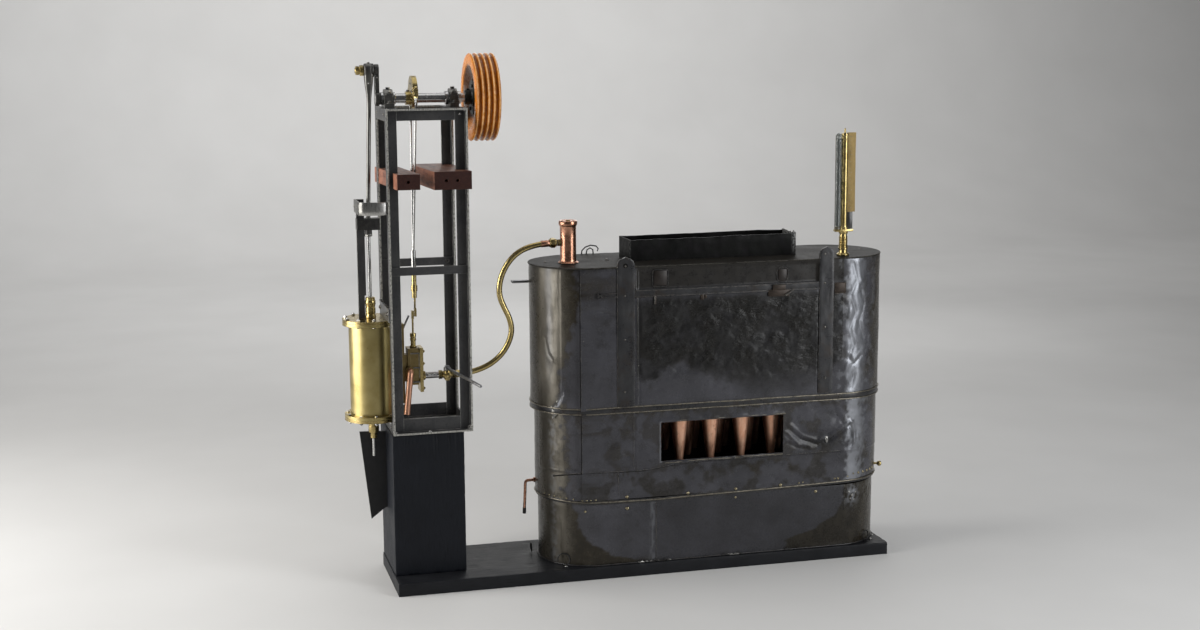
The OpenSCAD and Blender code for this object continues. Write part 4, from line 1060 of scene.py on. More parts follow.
def casing(name, t, z0, z1, dz, st, disp, attr, replaces, window=None, inner=True, zfix=()):
    nz = max(2, int(round((z1 - z0) / dz)))
    Z = [z0 + (z1 - z0) * i / nz for i in range(nz + 1)]
    for k in zfix:
        j = min(range(len(Z)), key=lambda i: abs(Z[i] - k))
        Z[j] = k
    S = st
    n = len(S)
    verts, A = [], [[], [], [], []]
    for zi in Z:
        for s in S:
            x, y, nx, ny, u = at(t, s)
            d = disp(u, zi, x, y, ny)
            verts.append((x + nx * d, y + ny * d, zi))
            for q, a in zip(A, attr(u, zi, x, y, ny)):
                q.append(float(max(0.0, min(1.0, a))))
    faces = []
    edge = {}
    for j in range(nz):
        for i in range(n):
            k = (i + 1) % n
            if window:
                xm, zm = (S[i] + (S[k] if k else S[i])) / 2, (Z[j] + Z[j + 1]) / 2
                if window[0] < xm < window[1] and window[2] < zm < window[3]:
                    continue
            faces.append((j * n + i, j * n + k, (j + 1) * n + k, (j + 1) * n + i))
    if window:
        # a turned-in edge round the window
        used = {}
        for f in faces:
            for a, b in zip(f, f[1:] + f[:1]):
                used[(a, b)] = used.get((a, b), 0) + 1
        rim = [(a, b) for (a, b) in used if (b, a) not in used and z0 + 1 < verts[a][2] < z1 - 1 and z0 + 1 < verts[b][2] < z1 - 1]
        back = {}
        for a, b in rim:
            for q in (a, b):
                if q not in back:
                    x, y, z = verts[q]
                    back[q] = len(verts)
                    verts.append((x, y + 1.5, z))
                    for w in A:
                        w.append(0.3)
        for a, b in rim:
            faces.append((b, a, back[a], back[b]))
    g = Geo().add(verts, faces)
    ob = piece(name, g, "sheet_iron", "frame", angle=60, replaces=replaces, recalc=False,
               attrs=dict(zip(("brown", "pit", "silver", "soot_and_shade"), A)))
    if inner:
        x0, x1, r = t
        ti = (x0 + 1.5, x1 - 1.5, r - 1.5)
        xs = [284, 371, 420, 470, 520, 552.5, 643]
        SI = [s for s in stations(ti, 12, 6, 14, (371, 552.5) if window else ())]
        zs = [z0, 162.5, 217.5, z1] if window else [z0, (z0 + z1) / 2, z1]
        vv, ff = [], []
        m = len(SI)
        for zi in zs:
            for s in SI:
                x, y, nx, ny, u = at(ti, s)
                vv.append((x, y, zi))
        for j in range(len(zs) - 1):
            for i in range(m):
                k = (i + 1) % m
                if window and window[0] - 1 < SI[i] and SI[k] < window[1] + 1 and k and j == 1:
                    continue
                ff.append((j * m + i, (j + 1) * m + i, (j + 1) * m + k, j * m + k))
        piece(name.replace("_skin", "_lining"), Geo().add(vv, ff), "soot_and_shade", "frame", angle=60, recalc=False)
    return ob


casing("upper_casing_skin", UP, 240, 436, 1.75, stations(UP, 1.6, 1.5, 5.0, (256.6, 337.3)), upper_disp, upper_attr, ["upper_front", "upper_back", "upper_left_end", "upper_right_end"], inner=False)
casing("middle_casing_skin", MID, 112, 236, 1.6, stations(MID, 1.6, 1.6, 5.0, (371.0, 552.5, 257.5, 331.5, 336.0)), mid_disp, mid_attr, ["middle_front", "middle_back"],
       window=(371.0, 552.5, 162.5, 217.5), zfix=(162.5, 217.5))
casing("lower_casing_skin", LOW, 18, 108, 1.8, stations(LOW, 2.0, 1.8, 5.0, (363.5,)), low_disp, low_attr, ["lower_casing"])


# ---- joints between the tiers: a folded strip between two wire beads
def loop_pts(t, off, zf, step=4.0):
    x0, x1, r = t
    T = (x0 - off, x1 + off, r + off)
    pts = []
    for s in stations(T, step, step, step * 1.3):
        x, y, nx, ny, u = at(T, s)
        pts.append((x, y, zf(u, ny), nx, ny, u))
    return pts


def strip(g, t, off, zlo, zhi, step=3.0, bulge=0.4):
    """Closed strip round a tier, seven points across."""
    x0, x1, r = t
    prof = [(-0.9, 0.0), (0.0, 0.0), (bulge, 0.18), (bulge * 0.8, 0.5), (bulge, 0.82), (0.0, 1.0), (-0.9, 1.0)]
    rings = []
    st = stations((x0 - off, x1 + off, r + off), step, step, step * 1.4)
    for o, f in prof:
        ring = []
        for s in st:
            x, y, nx, ny, u = at((x0 - off, x1 + off, r + off), s)
            w = 0.35 * frac(u / 17, f, 2.0, 2)
            z = zlo(u, ny) + (zhi(u, ny) - zlo(u, ny)) * f
            ring.append((x + nx * (o + w * 0.5), y + ny * (o + w * 0.5), z))
        rings.append(ring)
    n = len(st)
    verts = [p for r_ in rings for p in r_]
    faces = []
    m = len(rings)
    for j in range(m):
        for i in range(n):
            k, l = (i + 1) % n, (j + 1) % m
            faces.append((j * n + i, j * n + k, l * n + k, l * n + i))
    g.add(verts, faces)


def ring_bead(g, t, off, zf, r, n=8, step=3.0):
    x0, x1, rr = t
    T = (x0 - off, x1 + off, rr + off)
    st = stations(T, step, step, step * 1.4)
    m = len(st)
    verts, faces = [], []
    for s in st:
        x, y, nx, ny, u = at(T, s)
        z = zf(u, ny)
        w = 0.3 * frac(u / 15, 3.3, 1.0, 2)
        for k in range(n):
            a = 2 * math.pi * k / n
            verts.append((x + nx * (r * math.cos(a) + w), y + ny * (r * math.cos(a) + w), z + r * math.sin(a)))
    for i in range(m):
        j = (i + 1) % m
        for k in range(n):
            l = (k + 1) % n
            faces.append((i * n + k, j * n + k, j * n + l, i * n + l))
    g.add(verts, faces)


g = Geo()
strip(g, UP, 0.2, lambda u, ny: 234.6, lambda u, ny: 242.4)
piece("upper_joint_band", g, "strap_iron", "frame", angle=50, replaces=["casing_bands"])
g = Geo()
ring_bead(g, UP, 0.9, lambda u, ny: 242.6 + 0.5 * frac(u / 60, 0.2, 0.4, 2), 1.05)
ring_bead(g, UP, 0.5, lambda u, ny: 234.8 + 0.5 * frac(u / 50, 1.2, 0.4, 2), 1.05)
piece("upper_joint_beads", g, "bead_wire", "frame", angle=50)
g = Geo()
zl = lambda u, ny: band_z(u) if ny < 0.3 else 112.0
strip(g, MID, 0.0, lambda u, ny: zl(u, ny) - 4.0, lambda u, ny: zl(u, ny) + 1.6, bulge=0.15)
piece("lower_joint_band", g, "strap_iron", "frame", angle=50)
g = Geo()
ring_bead(g, MID, 0.5, lambda u, ny: zl(u, ny) - 0.6, 1.15)
piece("lower_joint_bead", g, "bead_wire", "frame", angle=50)


# ---- lid
def lid():
    x0, x1, r = 203.0, 721.5, 75.5
    cl, cr = x0 + r, x1 - r
    st = stations((x0, x1, r), 3.0, 2.4, 5.0)
    rows = [1.0, 0.985, 0.96, 0.92, 0.86, 0.78, 0.68, 0.56, 0.42, 0.27, 0.12, 0.0]
    verts, faces = [], []
    n = len(st)
    rim = []

    def pos(s, f, z):
        x, y, nx, ny, u = at((x0, x1, r), s)
        # shrink towards the spine
        sx = min(max(x, cl), cr)
        px, py = sx + (x - sx) * f, BYC + (y - BYC) * f
        d = 0.9 * frac(px / 60, py / 40, 0.7, 3) + 0.35 * frac(px / 18, py / 16, 4.7, 3)
        edge = sstep(1.0, 0.93, f)
        zz = z + d * edge * 0.8
        if py < 58 and 350 < px < 600:
            zz -= 0.5 * sstep(40, 20, abs(py - 30))
        return (px, py, zz)

    # underside lip, rounded edge and top
    prof = [(0.975, 436.0), (0.995, 435.9), (1.004, 436.4), (1.006, 437.2), (1.0, 437.9)]
    for f, z in prof:
        for s in st:
            x, y, nx, ny, u = at((x0, x1, r), s)
            w = 0.25 * frac(u / 14, 5.0, 5.0, 2)
            sx = min(max(x, cl), cr)
            verts.append((sx + (x - sx) * f, BYC + (y - BYC) * f, z + w))
    for f in rows[1:]:
        for s in st:
            verts.append(pos(s, f, 438.0))
    m = len(prof) + len(rows) - 1
    for j in range(m - 1):
        for i in range(n):
            k = (i + 1) % n
            faces.append((j * n + i, j * n + k, (j + 1) * n + k, (j + 1) * n + i))
    g = Geo().add(verts, faces)
    return piece("boiler_lid_sheet", g, "lid_iron", "frame", angle=60, replaces=["boiler_lid"])


lid()


# ---- open flue box with a torn right end
def flue():
    (x0, y0, z0), (x1, y1, z1) = nbox("flue_box")
    z0 = 430.0
    t = 1.2
    g = Geo()
    sil = []

    def top(px, side):
        h = z1 - 0.6 + 0.9 * frac(px / 40, side * 2.0, 3.0, 3) + 1.4 * sstep(x0, x1, px)
        if side == 0:
            h -= 1.0 * sstep(x0 + 12, x0, px)
        return h

    def wall(a, b, side, nrm):
        """Double wall from a to b, seen from outside."""
        n = max(2, int(math.hypot(b[0] - a[0], b[1] - a[1]) / 2.5))
        m = 14
        outer, inner = [], []
        for i in range(n + 1):
            f = i / n
            px, py = a[0] + (b[0] - a[0]) * f, a[1] + (b[1] - a[1]) * f
            zt = top(px, side)
            torn = 0.0
            if side == 2:
                zt = z1 + 1.5 + 3.6 * frac(py / 5.0, 7.0, 1.0, 4)
                torn = 1.0
            if side == 0 and px > x1 - 12:
                zt += 2.2 * frac(px / 3.0, 4.0, 1.0, 3)
            for lst, off in ((outer, 0.0), (inner, t)):
                col = []
                for k in range(m + 1):
                    q = k / m
                    d = 0.55 * frac(px / 22, py / 22 + q * 1.1, side * 3.0, 3)
                    d -= 1.6 * sstep(0.78, 1.0, q) * (0.5 + frac(px / 30, py / 30, side + 0.5, 3)) * (1 if side != 3 else 0.4)
                    if torn:
                        d += 2.2 * frac(py / 6, q * 4, 8.0, 3) * sstep(0.2, 0.6, q)
                    e = sstep(0, 0.03, f) * sstep(1, 0.97, f)
                    d *= 0.25 + 0.75 * e
                    zz = z0 + (zt - z0) * q
                    col.append((px + nrm[0] * (d - off), py + nrm[1] * (d - off), zz))
                lst.append(col)
        base = len(g.v)
        vs, fs = [], []
        for lst in (outer, inner):
            for col in lst:
                vs += col
        N = (n + 1) * (m + 1)
        for i in range(n):
            for k in range(m):
                p = i * (m + 1) + k
                fs.append((p, p + m + 1, p + m + 2, p + 1))
                fs.append((N + p, N + p + 1, N + p + m + 2, N + p + m + 1))
            p = i * (m + 1) + m
            fs.append((p, p + m + 1, N + p + m + 1, N + p))
        for i in (0, n):
            for k in range(m):
                p = i * (m + 1) + k
                fs.append((p, p + 1, N + p + 1, N + p))
        g.add(vs, fs)
        for v in vs:
            s_ = 0.0
            if side == 2:
                s_ = 0.95 * sstep(z1 - 16, z1 - 4, v[2])
            elif side == 0:
                s_ = 0.85 * sstep(x1 - 8, x1 - 1, v[0]) * sstep(z0, z1 - 6, v[2]) + 0.5 * sstep(x0 + 1.8, x0 + 0.3, v[0])
            sil.append(min(1.0, s_))

    wall((x0, y0), (x1, y0), 0, (0, -1))
    wall((x1, y0), (x1, y1), 2, (1, 0))
    wall((x1, y1), (x0, y1), 1, (0, 1))
    wall((x0, y1), (x0, y0), 3, (-1, 0))
    piece("flue_box_sheet", g, "flue_iron", "frame", angle=50, replaces=["flue_box"], attrs={"silver": sil})
    # floor of soot inside
    g = Geo()
    vs, fs = [], []
    n, m = 40, 10
    for j in range(m + 1):
        for i in range(n + 1):
            px, py = x0 + 1 + (x1 - x0 - 2) * i / n, y0 + 1 + (y1 - y0 - 2) * j / m
            vs.append((px, py, 439.2 + 0.8 * frac(px / 9, py / 9, 2.0, 3)))
    for j in range(m):
        for i in range(n):
            a = j * (n + 1) + i
            fs.append((a, a + 1, a + n + 2, a + n + 1))
    piece("flue_box_soot", Geo().add(vs, fs), "soot_and_shade", "frame")


flue()


# ---- straps, bar, hinges, catch and studs on the front
FY = BYC - UP[2]


def strap(g, x0, x1, z0, z1, seed, thick=1.7):
    """Sheet strap with a rounded top, slightly bowed, worn and bent."""
    w = (x1 - x0) / 2
    n, m = 12, 70
    cols = []
    for j in range(m + 1):
        f = j / m
        z = z0 + (z1 - z0) * f
        half = w
        if z > z1 - w:
            q = (z - (z1 - w)) / w
            half = w * math.sqrt(max(0.0, 1 - q * q))
        half += 0.25 * frac(z / 22, seed, 0.0, 2)
        row_f, row_b = [], []
        for i in range(n + 1):
            a = -1 + 2 * i / n
            x = x0 + w + a * max(half, 0.2)
            b = 0.35 * frac(x / 14, z / 26, seed, 3) + 0.3 * bump1(z, (z0 + z1) / 2, 60)
            rim = 0.5 * max(0.0, abs(a) - 0.8) / 0.2
            row_f.append((x, FY - thick - b + rim * 0.7, z))
            row_b.append((x, FY + 1.2, z))
        cols.append((row_f, row_b))
    vs, fs = [], []
    for rf, rb in cols:
        vs += rf + rb
    k = 2 * (n + 1)
    for j in range(m):
        for i in range(n):
            a = j * k + i
            fs.append((a, a + 1, a + k + 1, a + k))
        a = j * k
        fs.append((a, a + k, a + k + n + 1, a + n + 1))
        a = j * k + n
        fs.append((a, a + n + 1, a + k + n + 1, a + k))
    fs.append(tuple(range(n, -1, -1)) + tuple(range(n + 1, 2 * n + 2)))
    a = m * k
    fs.append(tuple(range(a, a + n + 1)) + tuple(range(a + 2 * n + 1, a + n, -1)))
    g.add(vs, fs)


g = Geo()
strap(g, 308.5, 333.3, 242.5, 451, 1.0)
piece("left_strap", g, "strap_iron", "frame", angle=40, replaces=["front_ironwork"])
g = Geo()
strap(g, 603.5, 624.8, 245.5, 454.3, 5.0)
piece("right_strap", g, "strap_iron", "frame", angle=40)

g = Geo()
# rolled bar: a flat with a bead along its lower edge
n = 120
pts_lo, pts_hi = [], []
for i in range(n + 1):
    x = 334 + (603 - 334) * i / n
    pts_lo.append((x, FY - 1.5, 395.6 + 0.35 * frac(x / 30, 1.0, 0.0, 2)))
    pts_hi.append((x, FY - 0.9, 404.6 + 0.35 * frac(x / 30, 4.0, 0.0, 2)))
g.tube(pts_lo, 1.05, 8)
g.tube(pts_hi, 0.7, 8)
vs, fs = [], []
for i in range(n + 1):
    x = 334 + (603 - 334) * i / n
    b = 0.4 * frac(x / 18, 2.0, 5.0, 3)
    vs += [(x, FY - 1.1 - b * 0.5, 396.2), (x, FY - 1.5 - b, 400.5), (x, FY - 1.1 - b * 0.5, 404.4), (x, FY + 1.0, 404.4), (x, FY + 1.0, 396.2)]
for i in range(n):
    for k in range(5):
        l = (k + 1) % 5
        fs.append((i * 5 + k, i * 5 + l, (i + 1) * 5 + l, (i + 1) * 5 + k))
fs += [(0, 1, 2, 3, 4), tuple(n * 5 + k for k in (4, 3, 2, 1, 0))]
g.add(vs, fs)
# tapered tail on the left of the strap, ending in a small spool
g.tube([(309, FY - 1.0, 397.0), (296, FY - 1.2, 397.6), (285, FY - 1.2, 398.0)], [0.9, 0.7, 0.6], 8)
g.tube([(309, FY - 1.0, 402.6), (296, FY - 1.2, 401.6), (285, FY - 1.2, 400.6)], [0.7, 0.6, 0.55], 8)
g.lathe([(0, 0), (3.2, 0), (3.6, 0.6), (3.6, 1.3), (2.0, 2.0), (2.0, 3.2), (3.4, 3.9), (3.2, 4.6), (0, 4.8)], (280.6, FY - 1.6, 399.4), (1, 0, 0), 16)
piece("door_bar", g, "strap_iron", "frame", angle=40)

# hinge knuckles and catch
g = Geo()


def ring_plate(g, x0, x1, z0, z1, y, r, t=0.55, arch=False):
    """Outline of wire round a plate, with rounded corners."""
    pts = []
    cs = [(x1 - r, z0 + r, -90), (x1 - r, z1 - r, 0), (x0 + r, z1 - r, 90), (x0 + r, z0 + r, 180)]
    for cx, cz, a0 in cs:
        for k in range(7):
            a = math.radians(a0 + 15 * k)
            pts.append((cx + r * math.cos(a), y, cz + r * math.sin(a)))
    pts.append(pts[0])
    g.tube(pts, t, 6, caps=False)


ring_plate(g, 359.5, 381.5, 408, 432, FY + 1.4, 4.0, 0.7)
ring_plate(g, 540.5, 557, 407.5, 428, FY + 1.4, 6.5, 0.55)
piece("door_hinges", g, "strap_iron", "frame")
g = Geo()
g.box(361, 380, FY + 1.2, FY + 2.8, 409.5, 430.5, 0.4)
g.box(542.5, 555, FY + 1.3, FY + 2.8, 408, 425, 0.4)
piece("door_hinge_plates", g, "umber_iron", "frame")
g = Geo()
g.box(527, 558, FY - 3.4, FY + 0.8, 387.5, 397.0, 0.7, rot=Matrix.Rotation(math.radians(1.5), 3, "Y"))
g.box(533, 552, FY - 4.2, FY - 2.2, 396.2, 404, 0.6)
g.box(361, 364, FY - 2.4, FY + 1, 384.5, 396, 0.5)
g.box(428, 433, FY - 2.0, FY + 1, 387.5, 395, 0.5)
g.box(433.5, 437, FY - 1.6, FY + 1, 389.5, 395, 0.4)
piece("door_catch", g, "rust_iron", "frame")
g = Geo()
g.bar((551, FY - 4.6, 388.5), (563.5, FY - 4.6, 396.5), 1.35, 10)
g.box(360.8, 362.2, FY - 2.9, FY - 2.0, 385, 396, 0.3)
piece("door_latch_pin", g, "stud", "frame")
g = Geo()
g.box(627.5, 643, FY - 0.4, FY + 1.0, 388, 402, 0.3)
ring_plate(g, 627, 643.5, 387.5, 402.5, FY - 0.2, 1.2, 0.4)
piece("right_patch", g, "rust_iron", "frame")

g = Geo()
for x, z, r, h in ((319.4, 398.0, 1.5, 1.0), (319.1, 337.1, 1.5, 1.0), (318.9, 264.4, 1.6, 1.2),
                   (611.3, 403.3, 1.7, 1.2), (612.3, 340.5, 2.0, 1.6), (613.6, 267.0, 1.8, 1.2)):
    g.dome((x, FY - 1.9, z), (0, -1, 0), r, h)
g.dome((320.4, FY - 1.9, 438.6), (0, -1, 0), 1.3, 0.9)
g.dome((611, FY - 1.9, 444.4), (0, -1, 0), 1.5, 1.0)
for x, z in ((261.5, 430), (261, 338), (260.6, 292), (333.8, 290), (338.3, 380), (338.6, 300)):
    g.dome((x, FY + 0.1, z), (0, -1, 0), 1.0, 0.8, 10)
# studs along the upper joint
rnd = random.Random(4)
for u in (300, 345, 402, 457.5, 520, 566, 606, 632):
    g.dome((u, FY - 1.6, 242.6 + rnd.uniform(-0.5, 0.5)), (0, -1, 0), 1.25, 1.1, 10)
for u in (352, 460, 522, 588, 634):
    g.dome((u, FY - 1.2, 235.0 + rnd.uniform(-0.5, 0.5)), (0, -1, 0), 1.1, 0.9, 10)
piece("front_studs", g, "stud", "frame")

# painted shade: a dark washer-shaped disc for the shaded inside of the hole under one of the studs
g = Geo()
g.lathe([(0, 0), (3.2, 0), (3.2, 0.25), (2.2, 0.35), (0, 0.35)], (320.2, FY - 1.75, 439.4), (0, -1, 0), 18)
piece("strap_hole_shade", g, "soot_and_shade", "frame")


# studs and screws on the two lower tiers
def on_front(t, u, off=0.0):
    x, y, nx, ny, _ = at(t, u)
    return x + nx * off, y + ny * off, nx, ny


g = Geo()
MY, LY = BYC - MID[2], BYC - LOW[2]
for u, dz, r in ((258, 3, 0.9), (264, 3.2, 0.9), (270, 3.0, 0.9), (277, 3.2, 1.1), (322, 5.5, 2.0), (411, 4.0, 2.0), (482, 3.6, 1.9), (549, 3.2, 2.2), (577, 3.4, 1.1), (583, 4.0, 1.0), (637, 4.0, 1.4), (632, 4.4, 1.2)):
    g.dome((u, MY - 0.3, band_z(u) + dz), (0, -1, 0), r * 1.2, r * 0.85, 12)
for u, z, r in ((262, 98, 1.6), (322.5, 98.1, 2.2), (481.6, 101.7, 1.5), (603, 101.3, 2.0)):
    g.dome((u, LY - 0.2, z), (0, -1, 0), r * 1.2, r * 0.85, 12)
for k in range(7):
    s = 652 + 9.5 * k
    x, y, nx, ny = on_front(MID, s)
    g.dome((x, y, band_z(s) + 8.5 - (3 if k == 0 else 0)), (nx, ny, 0), 2.1 if k > 1 else 1.2, 1.3, 12)
for s in (246, 236, 226, 216, 206, 196):
    x, y, nx, ny, _ = at(MID, s + 2 * (MID[1] - MID[0] - 2 * MID[2]) + 2 * math.pi * MID[2] if s < MID[0] + MID[2] else s)
    g.dome((x, y, band_z(s) + 3.2), (nx, ny, 0), 1.1, 0.8, 10)
piece("tier_studs", g, "brass_stud", "frame")

# laps of the sheets: a rubbed ridge with a dark line of dirt beside it
def seam(g, t, disp, pts, w, h, vert=True, off=0.0):
    vs, fs = [], []
    for u, z in pts:
        if vert:
            u += off
        else:
            z += off
        x, y, nx, ny, _ = at(t, u)
        d = disp(u, z, x, y, ny)
        y -= d
        a, b = ((x - w / 2, y + 0.2, z), (x + w / 2, y + 0.2, z)) if vert else ((x, y + 0.2, z - w / 2), (x, y + 0.2, z + w / 2))
        vs += [a, (x, y - h, z), b]
    n = len(pts)
    for i in range(n - 1):
        for k in range(3):
            l = (k + 1) % 3
            fs.append((3 * i + k, 3 * i + l, 3 * i + 3 + l, 3 * i + 3 + k))
    fs += [(0, 1, 2), (3 * n - 1, 3 * n - 2, 3 * n - 3)]
    g.add(vs, fs)


def upright(u, z0, z1, lean=0.0, step=3.0):
    n = int((z1 - z0) / step)
    return [(u + lean * i / n + 0.25 * frac(i / 9, u, 1.0, 2), z0 + (z1 - z0) * i / n) for i in range(n + 1)]


ZS = [(u, 152.5 + 5.5 * sstep(335, 430, u) - 2.0 * sstep(256, 336, u) * sstep(400, 340, u)) for u in range(216, 641, 4)]
g, gd = Geo(), Geo()
for t, dp, u, z0, z1, w, h in ((UP, upper_disp, 257.2, 246, 434, 0.9, 0.45), (UP, upper_disp, 337.8, 247, 402, 0.9, 0.5), (MID, mid_disp, 258.0, 153, 231, 0.8, 0.3),
                               (MID, mid_disp, 332.0, 154, 231, 0.7, 0.3), (MID, mid_disp, 310.0, 118, 150, 0.7, 0.3), (LOW, low_disp, 364.4, 21, 104, 0.8, 0.35), (LOW, low_disp, 648.0, 70, 108, 0.7, 0.3)):
    seam(g, t, dp, upright(u, z0, z1), w, h)
    seam(gd, t, dp, upright(u, z0, z1), 0.9, 0.12, off=-1.1)
seam(g, MID, mid_disp, ZS, 0.8, 0.35, vert=False, off=0.9)
seam(gd, MID, mid_disp, ZS, 1.2, 0.15, vert=False, off=-0.3)
piece("casing_laps", g, "strap_iron", "frame", angle=60)
piece("casing_lap_dirt", gd, "soot_and_shade", "frame", angle=60)
# rolled lips over and under the fire window
g = Geo()
g.tube([(370.6 + 7.7 * k, MY - 0.5 - 0.6 * abs(frac(k / 3.0, 1.0, 0.0, 2)), 219.0 + 0.5 * frac(k / 4.0, 2.0, 0.0, 2)) for k in range(25)], 0.75, 7)
g.tube([(376 + 7.3 * k, MY - 1.0 - 1.2 * abs(frac(k / 2.5, 5.0, 0.0, 2)), 160.6 - 1.0 * sstep(6, 0, k) + 0.8 * frac(k / 3.0, 6.0, 0.0, 2)) for k in range(25)], 0.7, 7)
g.tube([(370.6, MY - 0.4, 219), (370.3, MY - 0.5, 205), (370.5, MY - 0.5, 185), (370.4, MY - 0.5, 164)], 0.6, 7)
piece("fire_window_lips", g, "bead_wire", "frame", angle=60)

# lumps of solder along the joints
g = Geo()
g.blob((618.3, MY - 0.6, 177), 2.3, (0.9, 0.7, 2.2), 3)
for i, (s, z, r) in enumerate(((215, 243, 2.2), (217, 238, 2.6), (219, 233, 2.0), (221, 247, 1.7), (223, 252, 1.5), (216, 229, 1.6))):
    x, y, nx, ny, _ = at(UP, s + 2 * (UP[1] - UP[0] - 2 * UP[2]) + 2 * math.pi * UP[2])
    g.blob((x - nx * 0.4, y - ny * 0.4, z), r, (1, 0.8, 1.3), 5 + i)
for i, (s, z, r) in enumerate(((212, 112, 1.9), (218, 111.5, 1.6), (207, 112.5, 1.6), (224, 111, 1.4), (230, 111, 1.3))):
    x, y, nx, ny, _ = at(MID, s + 2 * (MID[1] - MID[0] - 2 * MID[2]) + 2 * math.pi * MID[2])
    g.blob((x - nx * 0.5, y - ny * 0.5, z), r, (1.4, 1.0, 0.7), 15 + i)
for i, (s, z, r) in enumerate(((655, 96, 2.0), (661, 91, 2.3), (667, 95, 1.8), (658, 86, 1.6), (664, 84, 1.9), (657, 100, 1.6))):
    x, y, nx, ny = on_front(LOW, s)
    g.blob((x - nx * 0.9, y - ny * 0.9, z), r, (1.1, 0.9, 1.2), 25 + i)
piece("solder_lumps", g, "solder", "frame")

# wire loops and clips that hold the boiler to the board
g = Geo()


def wire_loop(g, c, r, nrm, a0, a1, wr=0.8, squash=1.0):
    nrm = Vector(nrm).normalized()
    up = Vector((0, 0, 1))
    sd = up.cross(nrm).normalized()
    pts = []
    for k in range(25):
        a = math.radians(a0 + (a1 - a0) * k / 24)
        pts.append(Vector(c) + sd * (r * math.cos(a)) + up * (r * squash * math.sin(a)))
    g.tube(pts, wr, 8)


x, y, nx, ny, _ = at(LOW, 232 + 2 * (LOW[1] - LOW[0] - 2 * LOW[2]) + 2 * math.pi * LOW[2])
wire_loop(g, (x + nx * 3, y + ny * 3, 26.5), 8.5, (-0.35, -0.9, 0.1), -95, 200, 0.95)
x, y, nx, ny = on_front(LOW, 689)
wire_loop(g, (x + nx * 3, y + ny * 3, 25), 8.0, (0.6, -0.7, 0), -60, 230, 0.9)
wire_loop(g, (205, 96, 25), 7.0, (-1, 0.1, 0), -40, 220, 0.8)
wire_loop(g, (724, 96, 25), 7.0, (1, 0.1, 0), -40, 220, 0.8)
for u in (344, 362, 378, 466, 486, 560):
    g.tube([(u - 5, LY - 2.5, 18.8), (u - 3, LY - 2.6, 20.3), (u, LY - 2.0, 21.2), (u + 3, LY - 2.6, 20.3), (u + 6, LY - 3.2, 18.8)], 0.75, 8)
for u in (300, 430, 560):
    g.tube([(u - 5, 155 - 2.6, 18.8), (u - 3, 155 - 2.6, 20.3), (u, 155 - 2.4, 21.2), (u + 3, 155 - 2.6, 20.3), (u + 6, 155 - 2.2, 18.8)], 0.75, 8)
piece("hold_down_wire", g, "wire", "frame")
g = Geo()
for i, (u, r) in enumerate(((342, 3.0), (349, 2.2), (357, 1.8), (366, 1.6), (383, 2.4), (474, 2.4), (483, 2.8), (470, 1.6))):
    g.blob((u, LY - 1.4, 19.6), r, (1.5, 0.8, 0.55), 40 + i)
g.dome((237, 16, 18.2), (0, 0, 1), 2.2, 1.2)
g.dome((697, 22, 18.2), (0, 0, 1), 2.2, 1.2)
g.dome((708, 40, 18.2), (0, 0, 1), 2.0, 1.0)
piece("hold_down_lumps", g, "solder", "frame")

# a narrow flange of sheet where the casing meets the board
g = Geo()
pts = []
T = (LOW[0] - 0.8, LOW[1] + 0.8, LOW[2] + 0.8)
ring_bead(g, LOW, 0.9, lambda u, ny: 19.0 + 0.2 * frac(u / 20, 1, 1, 2), 0.95)
piece("foot_bead", g, "strap_iron", "frame", angle=50)

# lid details: screw, small hook at the back
g = Geo()
g.dome((314.6, 77.1, 438.4), (0, 0, 1), 2.6, 1.5)
g.dome((226, 78, 438.4), (0, 0, 1), 2.0, 1.1)
g.dome((700, 84, 438.4), (0, 0, 1), 2.0, 1.1)
piece("lid_screws", g, "stud", "frame")
g = Geo()
g.tube([(296, 148.5, 437.5), (297, 149.5, 443), (302, 149.5, 448), (310, 149, 450.5), (318, 149, 449), (321, 149, 445), (319.5, 149, 441.5)], 0.95, 8)
g.tube([(303, 149, 438), (304.5, 149.2, 444.0), (309, 149.2, 446.6), (313, 149.2, 444), (313.5, 149, 438)], 0.95, 8)
piece("lid_hook", g, "wire", "frame")

# wires for the frame of measures end here


# ------------------------------------------------------------------ copper dome, cones and fittings
g = Geo()
g.lathe([(14.2, 0), (14.4, 0.7), (13.4, 1.6), (12.0, 2.4), (11.5, 3.6), (11.2, 6), (11.25, 20), (11.15, 38), (11.3, 50.5), (11.9, 51.6), (12.7, 52.6), (12.95, 54.0),
         (12.95, 57.2), (12.4, 58.2), (11.2, 58.8), (10.2, 58.6), (9.6, 58.0), (0, 57.6)], (256, 66, 438.2), (0, 0, 1), 56)
piece("steam_dome_copper", g, "copper", "frame", angle=30, replaces=["steam_dome"])
g = Geo()
g.dome((256, 66, 495.6), (0, 0, 1), 3.0, 2.2)
g.bar((247.0, 66, 466.5), (240.5, 66, 466.4), 4.7, 24)
piece("steam_dome_stub", g, "old_brass", "frame")

g = Geo()


def cone(g, x, y, n=36):
    prof = [(0, 0), (3.6, 0.1), (5.0, 0.8), (5.6, 2.2), (6.4, 9)]
    for k in range(1, 12):
        f = k / 11
        prof.append((6.4 + (15.0 - 6.4) * f, 9 + 67 * f))
    g.lathe(prof, (x, y, 150), (0, 0, 1), n)


for i in range(9):
    cone(g, 272 + 46 * i, 42)
    cone(g, 272 + 46 * i, 114)
for i in range(8):
    cone(g, 295 + 46 * i, 78)
piece("water_cone_copper", g, "cone_copper", "frame", angle=35, replaces=["water_cones"])

